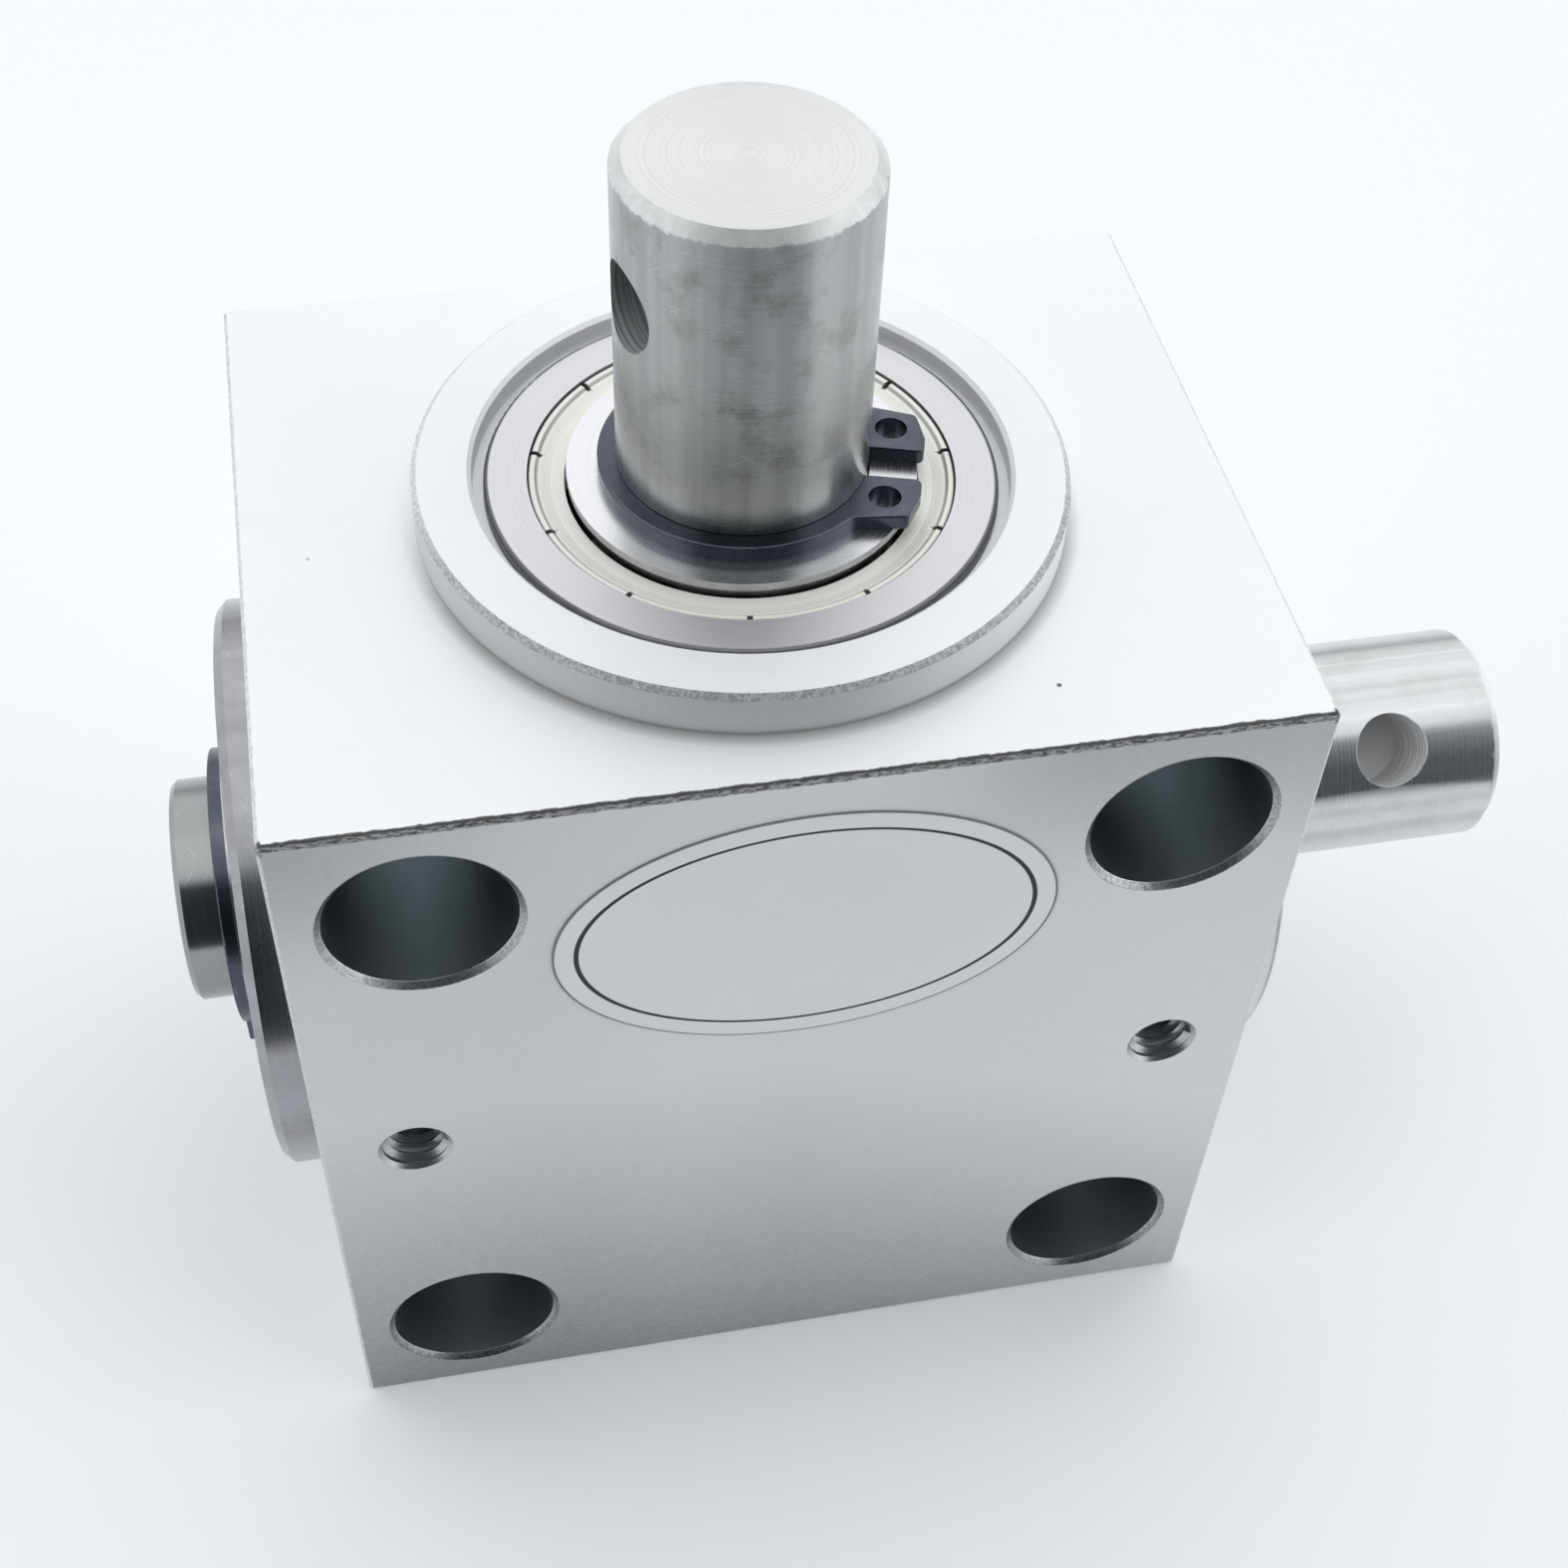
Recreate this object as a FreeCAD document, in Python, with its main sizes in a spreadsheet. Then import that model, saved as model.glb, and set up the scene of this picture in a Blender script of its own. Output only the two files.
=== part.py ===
import FreeCAD, Part
import math
import os
import re

import Sketcher

# Right angle gearbox: a block with a vertical shaft and a cross shaft, joined by two equal bevel gears.
# Millimetres, +Z up. The origin is the centre of the block's bottom face, +Z runs along the vertical shaft
# and +X along the cross shaft to its long end.

# Driving sizes: name, value, what it measures.
SIZES = [
    ("block_width", 60, "block, along the cross shaft"),
    ("block_depth", 46.4, "block, front to back"),
    ("block_height", 60, "block, along the vertical shaft"),
    ("edge_break", 0.22, "chamfer on the block's edges"),
    ("boss_diameter", 39.2, "raised boss on the top and on the right"),
    ("boss_height", 3, "boss above the block's face"),
    ("boss_chamfer", 0.3, "boss, outer edge"),
    ("seat_chamfer", 0.25, "mouth of each bore"),
    ("recess_step", 0.65, "opening above a boss's bearing, wider than its seat all round"),
    ("recess_depth", 1.5, "opening above a boss's bearing, below the boss's end"),
    ("mount_hole_diameter", 11, "through holes, front to back"),
    ("mount_hole_inset", 8, "through holes, in from the block's sides, top and bottom"),
    ("hole_chamfer", 0.35, "mouth of the through holes"),
    ("tap_hole_diameter", 4.1, "small holes on the front, over the thread"),
    ("tap_hole_inset", 5.8, "small holes, in from the block's sides"),
    ("tap_hole_depth", 6, "small holes"),
    ("tap_chamfer", 0.25, "mouth of the small holes"),
    ("shaft_diameter", 15, "both shafts"),
    ("shaft_chamfer", 0.65, "shaft ends"),
    ("stub_chamfer", 0.35, "cross shaft's short end"),
    ("vertical_reach", 24, "vertical shaft above the block's top"),
    ("cross_reach", 24, "cross shaft beyond the block's right face"),
    ("stub_reach", 7.6, "cross shaft beyond the block's left face"),
    ("shaft_end_gap", 1.1, "vertical shaft's inner end above the cross shaft"),
    ("cross_hole_diameter", 5.2, "blind hole across each shaft"),
    ("cross_hole_depth", 5.6, "blind hole, below the shaft's surface"),
    ("top_hole_inset", 7.7, "blind hole to the vertical shaft's end"),
    ("side_hole_inset", 8.3, "blind hole to the cross shaft's end"),
    ("top_hole_angle", 195, "blind hole of the vertical shaft, degrees from +X about +Z"),
    ("side_hole_angle", 43, "blind hole of the cross shaft, degrees from the front upward"),
    ("bearing_diameter", 30.8, "bearing, outside"),
    ("bearing_width", 8, "bearing"),
    ("bearing_recess", 0.8, "bearing face below the boss's end"),
    ("ring_corner", 0.3, "rounding of the outer ring's corners"),
    ("ring_chamfer", 0.35, "inner ring's corners"),
    ("ball_shift", 0.1, "circle of the balls' centres, out from the middle of the bearing"),
    ("ring_opening", 2.5, "between the inner ring and the outer ring"),
    ("ball_diameter", 4.762, "bearing balls"),
    ("ball_count", 9, "balls in a bearing"),
    ("race_gap", 0.05, "ball to its groove"),
    ("cage_thickness", 1.7, "cage, in to out"),
    ("cage_side", 0.6, "cage beside each ball"),
    ("pocket_gap", 0.08, "ball to its pocket"),
    ("flange_diameter", 38.3, "left bearing's flange"),
    ("flange_width", 3, "left bearing's flange"),
    ("flange_chamfer", 0.6, "left bearing's flange, outer edge"),
    ("shield_sheet", 0.3, "shield metal"),
    ("shield_drop", 0.12, "shield's rim below the ring's face"),
    ("shield_dish", 0.35, "shield's plate below its rim"),
    ("shield_slope", 0.8, "shield's slope between its rim and its plate"),
    ("rim_width", 0.55, "shield's rolled rim"),
    ("shield_gap", 0.3, "shield to the inner ring"),
    ("crimp_count", 11, "slits round the shield's rim"),
    ("crimp_slit", 0.3, "width of a slit"),
    ("crimp_depth", 0.25, "depth of a slit"),
    ("shim_diameter", 20.9, "shim, outside"),
    ("shim_thickness", 0.5, "shim on the top and on the right"),
    ("left_shim_thickness", 0.85, "shim on the left"),
    ("shim_gap", 0.1, "shim to the shaft"),
    ("clip_thickness", 1, "snap ring"),
    ("clip_groove_depth", 0.35, "snap ring's groove in the shaft"),
    ("clip_groove_play", 0.05, "groove beyond each side of the snap ring"),
    ("clip_width", 1.45, "snap ring's width, from the groove"),
    ("left_clip_width", 2.2, "left snap ring's width, from the groove"),
    ("clip_edge", 0.15, "rounding of the snap ring's outer face"),
    ("clip_opening", 2.5, "gap between the lugs"),
    ("lug_reach", 3.6, "lugs, out from the groove"),
    ("lug_root", 5.4, "lugs at the ring, out from the gap's middle"),
    ("lug_corner", 4.6, "lugs' outer corner, out from the gap's middle"),
    ("lug_corner_drop", 0.65, "lugs' outer corner, in from their tip"),
    ("lug_tip", 2.5, "straight end of the lugs, out from the gap's middle"),
    ("lug_rounding", 0.45, "lugs' outer corners"),
    ("lug_root_rounding", 1.2, "inner corners between the lugs and the ring"),
    ("lug_hole_diameter", 1.95, "plier holes"),
    ("lug_hole_radius", 9.2, "plier holes, from the shaft's axis"),
    ("lug_hole_angle", 19.75, "plier holes, degrees from the gap's middle"),
    ("top_clip_angle", -16, "top snap ring's lugs, degrees from +X about +Z"),
    ("left_clip_angle", 193, "left snap ring's lugs, degrees from the top to the back"),
    ("gear_module", 1.5, "tooth size at the outer end"),
    ("gear_teeth", 19, "teeth on each gear"),
    ("gear_face", 6, "tooth length"),
    ("pressure_angle", 20, "tooth flanks, degrees"),
    ("gear_addendum", 0.95, "tooth above the pitch line, in modules"),
    ("gear_dedendum", 1.25, "tooth below the pitch line, in modules"),
    ("gear_backlash", 0.2, "play between the teeth at the outer end"),
    ("gear_rim", 0.324, "gear's back behind the tooth roots"),
    ("gear_hub_step", 0.3, "hub above the gear's back"),
    ("gear_hub_diameter", 19.6, "hub on the gear's back"),
    ("gear_room_gap", 0.13, "gear tips to the wall of the block's cavity"),
    ("key_width", 4, "key, across"),
    ("key_depth", 2, "key in the shaft"),
    ("key_rise", 1.3, "key above the shaft"),
    ("key_top_gap", 0.1, "key to the roof of the gear's keyway"),
    ("key_inset", 0.8, "key short of each side of the gear"),
    ("spacer_diameter", 19.6, "sleeve beside the cross gear, outside"),
    ("fit_gap", 0.02, "seated pieces, radial"),
]
NAMES = {name for name, _, _ in SIZES}

# Lengths worked out from the driving sizes. Each is an expression in their names.
SHAFT_R = "shaft_diameter / 2"
SEAT_R = "bearing_diameter / 2"
BORE_R = "(shaft_diameter / 2 + fit_gap)"
PITCH_R = "(gear_module * gear_teeth / 2)"
ROOT_DROP = "(gear_module * gear_dedendum / sqrt(2))"
TIP_RISE = "(gear_module * gear_addendum / sqrt(2))"
GEAR_BACK = f"({PITCH_R} + {ROOT_DROP} + gear_rim)"
GEAR_MOUNT = f"({GEAR_BACK} + gear_hub_step)"
TOE_SCALE = f"(1 - gear_face / ({PITCH_R} * sqrt(2)))"
GEAR_FRONT = f"({TOE_SCALE} * ({PITCH_R} - {TIP_RISE}))"
ROOM_R = f"({PITCH_R} + {TIP_RISE} + gear_room_gap)"
BOSS_TOP = "(block_height + boss_height)"
BOSS_END = "(block_width / 2 + boss_height)"
TOP_FACE = f"({BOSS_TOP} - bearing_recess)"
SEAT_FLOOR = f"({TOP_FACE} - 2 * bearing_width)"
AXIS = f"({SEAT_FLOOR} - {GEAR_MOUNT})"
RIGHT_FACE = f"({BOSS_END} - bearing_recess)"
RIGHT_FLOOR = f"({RIGHT_FACE} - bearing_width)"
LEFT_FACE = "(block_width / 2 + flange_width)"
LEFT_FLOOR = f"({LEFT_FACE} - bearing_width)"
SHAFT_TOP = "(block_height + vertical_reach)"
SHAFT_BOTTOM = f"({AXIS} + {SHAFT_R} + shaft_end_gap)"
CROSS_END = "(block_width / 2 + cross_reach)"
STUB_END = "(block_width / 2 + stub_reach)"
GROOVE_R = f"({SHAFT_R} - clip_groove_depth)"
BALL_CIRCLE_R = f"({SHAFT_R} / 2 + {SEAT_R} / 2 + ball_shift)"
OUTER_LAND = f"({BALL_CIRCLE_R} + ring_opening / 2)"
INNER_LAND = f"({BALL_CIRCLE_R} - ring_opening / 2)"
BALL_R = "ball_diameter / 2"
KEY_LENGTH = f"({GEAR_MOUNT} - {GEAR_FRONT} - 2 * key_inset)"

FULL_TURN = 360
UP = FreeCAD.Rotation()
TO_RIGHT = FreeCAD.Rotation(FreeCAD.Vector(0, 1, 0), 90)
TO_LEFT = FreeCAD.Rotation(FreeCAD.Vector(0, 1, 0), -90)

doc = FreeCAD.newDocument("Gearbox")
sheet = doc.addObject("Spreadsheet::Sheet", "Sizes")
for row, (name, value, note) in enumerate(SIZES, start=1):
    sheet.set(f"A{row}", note)
    sheet.set(f"B{row}", str(value))
    sheet.setAlias(f"B{row}", name)
doc.recompute()
pieces = []


def bind(text):
    """Return an expression with each size's name pointed at the sheet."""
    return re.sub(r"[a-z_]+", lambda word: f"Sizes.{word[0]}" if word[0] in NAMES else word[0], text)


def size(text):
    """Return the value of an expression in the sizes' names."""
    return float(sheet.evalExpression(bind(text)))


def piece(label):
    """Start a body that becomes one of the parts."""
    body = doc.addObject("PartDesign::Body", label)
    body.Label = label
    pieces.append(body)
    return body


def place(body, rotation, along=None, axis="z"):
    """Turn a part and move it along one axis; parts on the cross shaft also rise to its height."""
    body.Placement = FreeCAD.Placement(FreeCAD.Vector(), rotation)
    if along is not None:
        body.setExpression(f".Placement.Base.{axis}", bind(along))
    if axis == "x":
        body.setExpression(".Placement.Base.z", bind(AXIS))


def sketch_on(body, role, offset=None):
    """Add a sketch on one of the body's own planes, moved along the plane's normal by offset."""
    sketch = body.newObject("Sketcher::SketchObject", "Sketch")
    plane = next(item for item in body.Origin.OriginFeatures if item.Role == role)
    sketch.AttachmentSupport = [(plane, "")]
    sketch.MapMode = "FlatFace"
    if offset is not None:
        sketch.setExpression(".AttachmentOffset.Base.z", bind(offset))
    return sketch


def fix_point(sketch, geometry, corner, point):
    """Hold one point of a sketch at a pair of expressions."""
    for kind, on_axis, text in (("DistanceX", -2, point[0]), ("DistanceY", -1, point[1])):
        if text == "0":
            sketch.addConstraint(Sketcher.Constraint("PointOnObject", geometry, corner, on_axis))
            continue
        index = sketch.addConstraint(Sketcher.Constraint(kind, -1, 1, geometry, corner, size(text)))
        sketch.setExpression(f"Constraints[{index}]", bind(text))


def polygon(sketch, points):
    """Draw a closed outline through points given as pairs of expressions."""
    corners = [FreeCAD.Vector(size(x), size(y), 0) for x, y in points]
    count = len(corners)
    first = sketch.GeometryCount
    for i in range(count):
        sketch.addGeometry(Part.LineSegment(corners[i], corners[(i + 1) % count]), False)
    for i in range(count):
        follower = first + (i + 1) % count
        sketch.addConstraint(Sketcher.Constraint("Coincident", first + i, 2, follower, 1))
        fix_point(sketch, first + i, 1, points[i])


def circle(sketch, centre, radius):
    """Draw a circle about a centre given as a pair of expressions."""
    middle = FreeCAD.Vector(size(centre[0]), size(centre[1]), 0)
    shape = Part.Circle(middle, FreeCAD.Vector(0, 0, 1), size(radius))
    index = sketch.addGeometry(shape, False)
    if centre == ("0", "0"):
        sketch.addConstraint(Sketcher.Constraint("Coincident", index, 3, -1, 1))
    else:
        fix_point(sketch, index, 3, centre)
    held = sketch.addConstraint(Sketcher.Constraint("Radius", index, size(radius)))
    sketch.setExpression(f"Constraints[{held}]", bind(radius))


def feature(body, kind, sketch, **settings):
    """Add a feature made from a sketch; a cut that removes nothing is an error."""
    cuts = kind in ("Pocket", "Groove")
    before = body.Shape.Volume if cuts else 0
    item = body.newObject(f"PartDesign::{kind}", kind)
    item.Profile = sketch
    for name, value in settings.items():
        if name == "length":
            item.setExpression("Length", bind(value))
        else:
            setattr(item, name, value)
    doc.recompute()
    if cuts and not body.Shape.Volume < before:
        raise RuntimeError(f"{body.Label}: {item.Name} cuts nothing")
    return item


def turned(body, points, kind="Revolution", role="XZ_Plane"):
    """Turn an outline about the body's own +Z, to add or to cut."""
    sketch = sketch_on(body, role)
    polygon(sketch, points)
    return feature(body, kind, sketch, ReferenceAxis=(sketch, ["V_Axis"]), Angle=FULL_TURN)


def turned_across(body, points, kind):
    """Turn an outline about the cross shaft's axis; its points are distance along and radius."""
    sketch = sketch_on(body, "XZ_Plane")
    polygon(sketch, [(along, f"{AXIS} + {radius}") for along, radius in points])
    reach = FreeCAD.Vector(size("block_width"), 0, 0)
    height = FreeCAD.Vector(0, size(AXIS), 0)
    line = sketch.addGeometry(Part.LineSegment(height, height + reach), True)
    fix_point(sketch, line, 1, ("0", AXIS))
    fix_point(sketch, line, 2, ("block_width", AXIS))
    return feature(body, kind, sketch, ReferenceAxis=(sketch, ["Axis0"]), Angle=FULL_TURN)


def dress_edges(body, kind, amount, wanted):
    """Chamfer or round each edge of the body that the test picks."""
    names = [f"Edge{i}" for i, edge in enumerate(body.Shape.Edges, start=1) if wanted(edge)]
    tip = body.Tip
    item = body.newObject(f"PartDesign::{kind}", kind)
    item.Base = (tip, names)
    item.setExpression("Size" if kind == "Chamfer" else "Radius", bind(amount))
    doc.recompute()


def is_ring(edge, radius, axis, places):
    """Tell whether an edge is a full circle of a radius, with its centre at a place along an axis."""
    if not isinstance(edge.Curve, Part.Circle) or len(edge.Vertexes) > 1:
        return False
    along = edge.Curve.Center[axis]
    return math.isclose(edge.Curve.Radius, radius) and any(math.isclose(along, at) for at in places)


def corner_r(body, edge):
    """Return how far an upright corner of the body stands from its +Z, or 0 for any other edge."""
    start = edge.Vertexes[0].Point
    rise = edge.Vertexes[-1].Point - start
    if not rise.Length or not math.isclose(abs(rise.z), rise.Length):
        return 0
    if any(edge.isSeam(face) for face in body.Shape.Faces):
        return 0
    return math.hypot(start.x, start.y)


def repeat_round(body, item, count):
    """Repeat a feature round the body's own +Z."""
    pattern = body.newObject("PartDesign::PolarPattern", "PolarPattern")
    pattern.Originals = [item]
    pattern.Axis = (next(f for f in body.Origin.OriginFeatures if f.Role == "Z_Axis"), [""])
    pattern.Angle = FULL_TURN
    pattern.setExpression("Occurrences", bind(count))
    body.Tip = pattern
    doc.recompute()


def blind_hole(body, height, rotation):
    """Drill the blind cross hole into a shaft, at a height along it."""
    drill = body.newObject("PartDesign::SubtractiveCylinder", "CrossHole")
    drill.setExpression("Radius", bind("cross_hole_diameter / 2"))
    drill.setExpression("Height", bind("shaft_diameter"))
    direction = rotation.multVec(FreeCAD.Vector(0, 0, 1))
    drill.Placement = FreeCAD.Placement(FreeCAD.Vector(), rotation)
    floor = f"({SHAFT_R} - cross_hole_depth)"
    drill.setExpression(".Placement.Base.x", bind(f"{floor} * {direction.x}"))
    drill.setExpression(".Placement.Base.y", bind(f"{floor} * {direction.y}"))
    drill.setExpression(".Placement.Base.z", bind(height))
    doc.recompute()


def keyway(body, start, length, inner, outer, side_gap):
    """Cut a keyway along the body's +Z, on its +X side, between two radii."""
    sketch = sketch_on(body, "XY_Plane", start)
    half = f"(key_width / 2 + {side_gap})"
    polygon(sketch, [(inner, f"-{half}"), (outer, f"-{half}"), (outer, half), (inner, half)])
    feature(body, "Pocket", sketch, length=length, Reversed=True)


def housing():
    """The block with its two bosses, the crossed bores for bearings and gears, and the front's holes."""
    body = piece("housing")
    base = sketch_on(body, "XY_Plane")
    half_x = "block_width / 2"
    half_y = "block_depth / 2"
    polygon(base, [(f"-{half_x}", f"-{half_y}"), (half_x, f"-{half_y}"), (half_x, half_y),
                   (f"-{half_x}", half_y)])
    feature(body, "Pad", base, length="block_height")
    dress_edges(body, "Chamfer", "edge_break", lambda edge: True)

    boss_r = "boss_diameter / 2"
    boss_neck = "(boss_diameter / 2 - boss_chamfer)"
    turned(body, [("0", "block_height"), (boss_r, "block_height"), (boss_r, f"{BOSS_TOP} - boss_chamfer"),
                  (boss_neck, BOSS_TOP), ("0", BOSS_TOP)])
    turned_across(body, [("block_width / 2", "0"), ("block_width / 2", boss_r),
                         (f"{BOSS_END} - boss_chamfer", boss_r), (BOSS_END, boss_neck), (BOSS_END, "0")],
                  "Revolution")

    recess_r = f"({SEAT_R} + recess_step)"
    mouth_r = f"({recess_r} + seat_chamfer)"
    top_ledge = f"({BOSS_TOP} - recess_depth)"
    end_ledge = f"({BOSS_END} - recess_depth)"
    turned(body, [("0", AXIS), (ROOM_R, AXIS), (ROOM_R, SEAT_FLOOR), (SEAT_R, SEAT_FLOOR),
                  (SEAT_R, top_ledge), (recess_r, top_ledge), (recess_r, f"{BOSS_TOP} - seat_chamfer"),
                  (mouth_r, BOSS_TOP), ("0", BOSS_TOP)], "Groove")
    turned_across(body, [("-block_width / 2", "0"), ("-block_width / 2", f"{SEAT_R} + seat_chamfer"),
                         ("-block_width / 2 + seat_chamfer", SEAT_R), (f"-{LEFT_FLOOR}", SEAT_R),
                         (f"-{LEFT_FLOOR}", ROOM_R), (RIGHT_FLOOR, ROOM_R), (RIGHT_FLOOR, SEAT_R),
                         (end_ledge, SEAT_R), (end_ledge, recess_r), (f"{BOSS_END} - seat_chamfer", recess_r),
                         (BOSS_END, mouth_r), (BOSS_END, "0")], "Groove")

    holes = sketch_on(body, "XZ_Plane")
    for across in ("mount_hole_inset - block_width / 2", "block_width / 2 - mount_hole_inset"):
        for up in ("mount_hole_inset", "block_height - mount_hole_inset"):
            circle(holes, (across, up), "mount_hole_diameter / 2")
    feature(body, "Pocket", holes, Type="ThroughAll", Midplane=True)
    faces = (size("-block_depth / 2"), size("block_depth / 2"))
    mount_r = size("mount_hole_diameter / 2")
    dress_edges(body, "Chamfer", "hole_chamfer", lambda edge: is_ring(edge, mount_r, 1, faces))

    taps = sketch_on(body, "XZ_Plane", "block_depth / 2")
    for across in ("tap_hole_inset - block_width / 2", "block_width / 2 - tap_hole_inset"):
        circle(taps, (across, "block_height / 2"), "tap_hole_diameter / 2")
    feature(body, "Pocket", taps, length="tap_hole_depth")
    tap_r = size("tap_hole_diameter / 2")
    dress_edges(body, "Chamfer", "tap_chamfer", lambda edge: is_ring(edge, tap_r, 1, faces))


def shaft_profile(start, end, grooves, end_chamfer):
    """Return a shaft's half outline along its axis, with chamfered ends and a groove for each snap ring."""
    neck = f"({SHAFT_R} - shaft_chamfer)"
    points = [("0", start), (neck, start), (SHAFT_R, f"{start} + shaft_chamfer")]
    for low in grooves:
        bottom = f"{low} - clip_groove_play"
        top = f"{low} + clip_thickness + clip_groove_play"
        points += [(SHAFT_R, bottom), (GROOVE_R, bottom), (GROOVE_R, top), (SHAFT_R, top)]
    return points + [(SHAFT_R, f"{end} - {end_chamfer}"), (f"({SHAFT_R} - {end_chamfer})", end), ("0", end)]


def shafts():
    """Both shafts, with their snap-ring grooves, keyways and blind cross holes."""
    key_floor = f"({SHAFT_R} - key_depth)"
    upright = piece("vertical_shaft")
    turned(upright, shaft_profile(SHAFT_BOTTOM, SHAFT_TOP, [f"{TOP_FACE} + shim_thickness"], "shaft_chamfer"))
    keyway(upright, f"{AXIS} + {GEAR_FRONT} + key_inset", KEY_LENGTH, key_floor, "shaft_diameter", "fit_gap")
    turn = FreeCAD.Rotation(FreeCAD.Vector(0, 0, 1), size("top_hole_angle"))
    blind_hole(upright, f"{SHAFT_TOP} - top_hole_inset", turn.multiply(TO_RIGHT))

    # The cross shaft's own +Z points to its stub, as its gear's does.
    across = piece("cross_shaft")
    grooves = [f"-{RIGHT_FACE} - shim_thickness - clip_thickness", f"-{RIGHT_FLOOR}",
               f"{LEFT_FACE} + left_shim_thickness"]
    turned(across, shaft_profile(f"-{CROSS_END}", STUB_END, grooves, "stub_chamfer"))
    keyway(across, f"{GEAR_FRONT} + key_inset", KEY_LENGTH, key_floor, "shaft_diameter", "fit_gap")
    tilt = FreeCAD.Rotation(FreeCAD.Vector(0, 0, 1), size("side_hole_angle - 90"))
    blind_hole(across, f"side_hole_inset - {CROSS_END}", tilt.multiply(TO_RIGHT))
    place(across, TO_LEFT, "0", "x")


def tooth(scale):
    """Return the closed outline of one tooth on the back cone's plane, shrunk towards the gears' apex.

    The outline is that of the spur gear whose pitch radius is the back cone's length, with each involute
    flank drawn as an arc through three of its points.
    """
    module = size("gear_module")
    pitch = size(f"{PITCH_R} * sqrt(2)")
    alpha = math.radians(size("pressure_angle"))
    base = pitch * math.cos(alpha)
    tip = pitch + module * size("gear_addendum")
    below = pitch - module * size("gear_dedendum") - size("gear_rim")
    half = (math.pi * module / 2 - size("gear_backlash") / 2) / (2 * pitch)

    def half_angle(radius):
        if radius <= base:
            return half + math.tan(alpha) - alpha
        turn = math.acos(base / radius)
        return half + math.tan(alpha) - alpha - (math.tan(turn) - turn)

    def at(radius, side):
        angle = side * half_angle(radius)
        out = radius * math.cos(angle) / math.sqrt(2)
        apex = pitch * math.sqrt(2)
        return FreeCAD.Vector(out, radius * math.sin(angle), apex - out) * scale

    middle = (base + tip) / 2
    rise = Part.Arc(at(base, -1), at(middle, -1), at(tip, -1)).toShape()
    fall = Part.Arc(at(tip, 1), at(middle, 1), at(base, 1)).toShape()
    lines = [Part.makeLine(at(below, -1), at(base, -1)), rise, Part.makeLine(at(tip, -1), at(tip, 1)), fall,
             Part.makeLine(at(base, 1), at(below, 1)), Part.makeLine(at(below, 1), at(below, -1))]
    return Part.Wire(lines)


def gear(label, rotation):
    """A bevel gear about its own +Z with the apex at the origin, its keyway and its key's side on +X."""
    heel_root_r = size(f"{PITCH_R} - {ROOT_DROP}")
    heel_root = size(f"{PITCH_R} + {ROOT_DROP}")
    toe = size(TOE_SCALE)
    back = size(GEAR_BACK)
    bore = size(BORE_R)
    hub = size("gear_hub_diameter / 2")
    front = size(GEAR_FRONT)
    outline = [(bore, front), (toe * heel_root_r - size("gear_rim"), front),
               (toe * heel_root_r, toe * heel_root), (heel_root_r, heel_root),
               (heel_root_r - (back - heel_root), back), (hub, back),
               (hub, size(GEAR_MOUNT)), (bore, size(GEAR_MOUNT))]
    corners = [FreeCAD.Vector(radius, 0, height) for radius, height in outline]
    section = Part.Face(Part.makePolygon(corners + corners[:1]))
    blank = section.revolve(FreeCAD.Vector(), FreeCAD.Vector(0, 0, 1), FULL_TURN)
    one = Part.makeLoft([tooth(1), tooth(toe)], True, True)
    count = int(size("gear_teeth"))
    teeth = []
    for i in range(count):
        copy = one.copy()
        copy.rotate(FreeCAD.Vector(), FreeCAD.Vector(0, 0, 1), FULL_TURN * i / count)
        teeth.append(copy)
    solid = blank.multiFuse(teeth)
    width = size("key_width + 2 * fit_gap")
    roof = size(f"{SHAFT_R} + key_rise + key_top_gap")
    slot = Part.makeBox(roof, width, back * 2, FreeCAD.Vector(0, -width / 2, 0))
    item = doc.addObject("Part::Feature", label)
    item.Label = label
    item.Shape = solid.cut(slot).removeSplitter().Solids[0]
    item.Placement = FreeCAD.Placement(FreeCAD.Vector(), rotation)
    item.setExpression(".Placement.Base.z", bind(AXIS))
    pieces.append(item)


def key(label, rotation):
    """A gear's key, on the +X side of the gear's own +Z."""
    body = piece(label)
    sketch = sketch_on(body, "XY_Plane", f"{GEAR_FRONT} + key_inset")
    inner = f"({SHAFT_R} - key_depth)"
    outer = f"({SHAFT_R} + key_rise)"
    half = "key_width / 2"
    polygon(sketch, [(inner, f"-{half}"), (outer, f"-{half}"), (outer, half), (inner, half)])
    feature(body, "Pad", sketch, length=KEY_LENGTH)
    place(body, rotation, AXIS, "z")


def sleeve(label, inner, outer, length, rotation, along, axis):
    """A plain ring about its own +Z: the spacer and the shims."""
    body = piece(label)
    sketch = sketch_on(body, "XY_Plane")
    circle(sketch, ("0", "0"), outer)
    circle(sketch, ("0", "0"), inner)
    feature(body, "Pad", sketch, length=length)
    place(body, rotation, along, axis)


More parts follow.
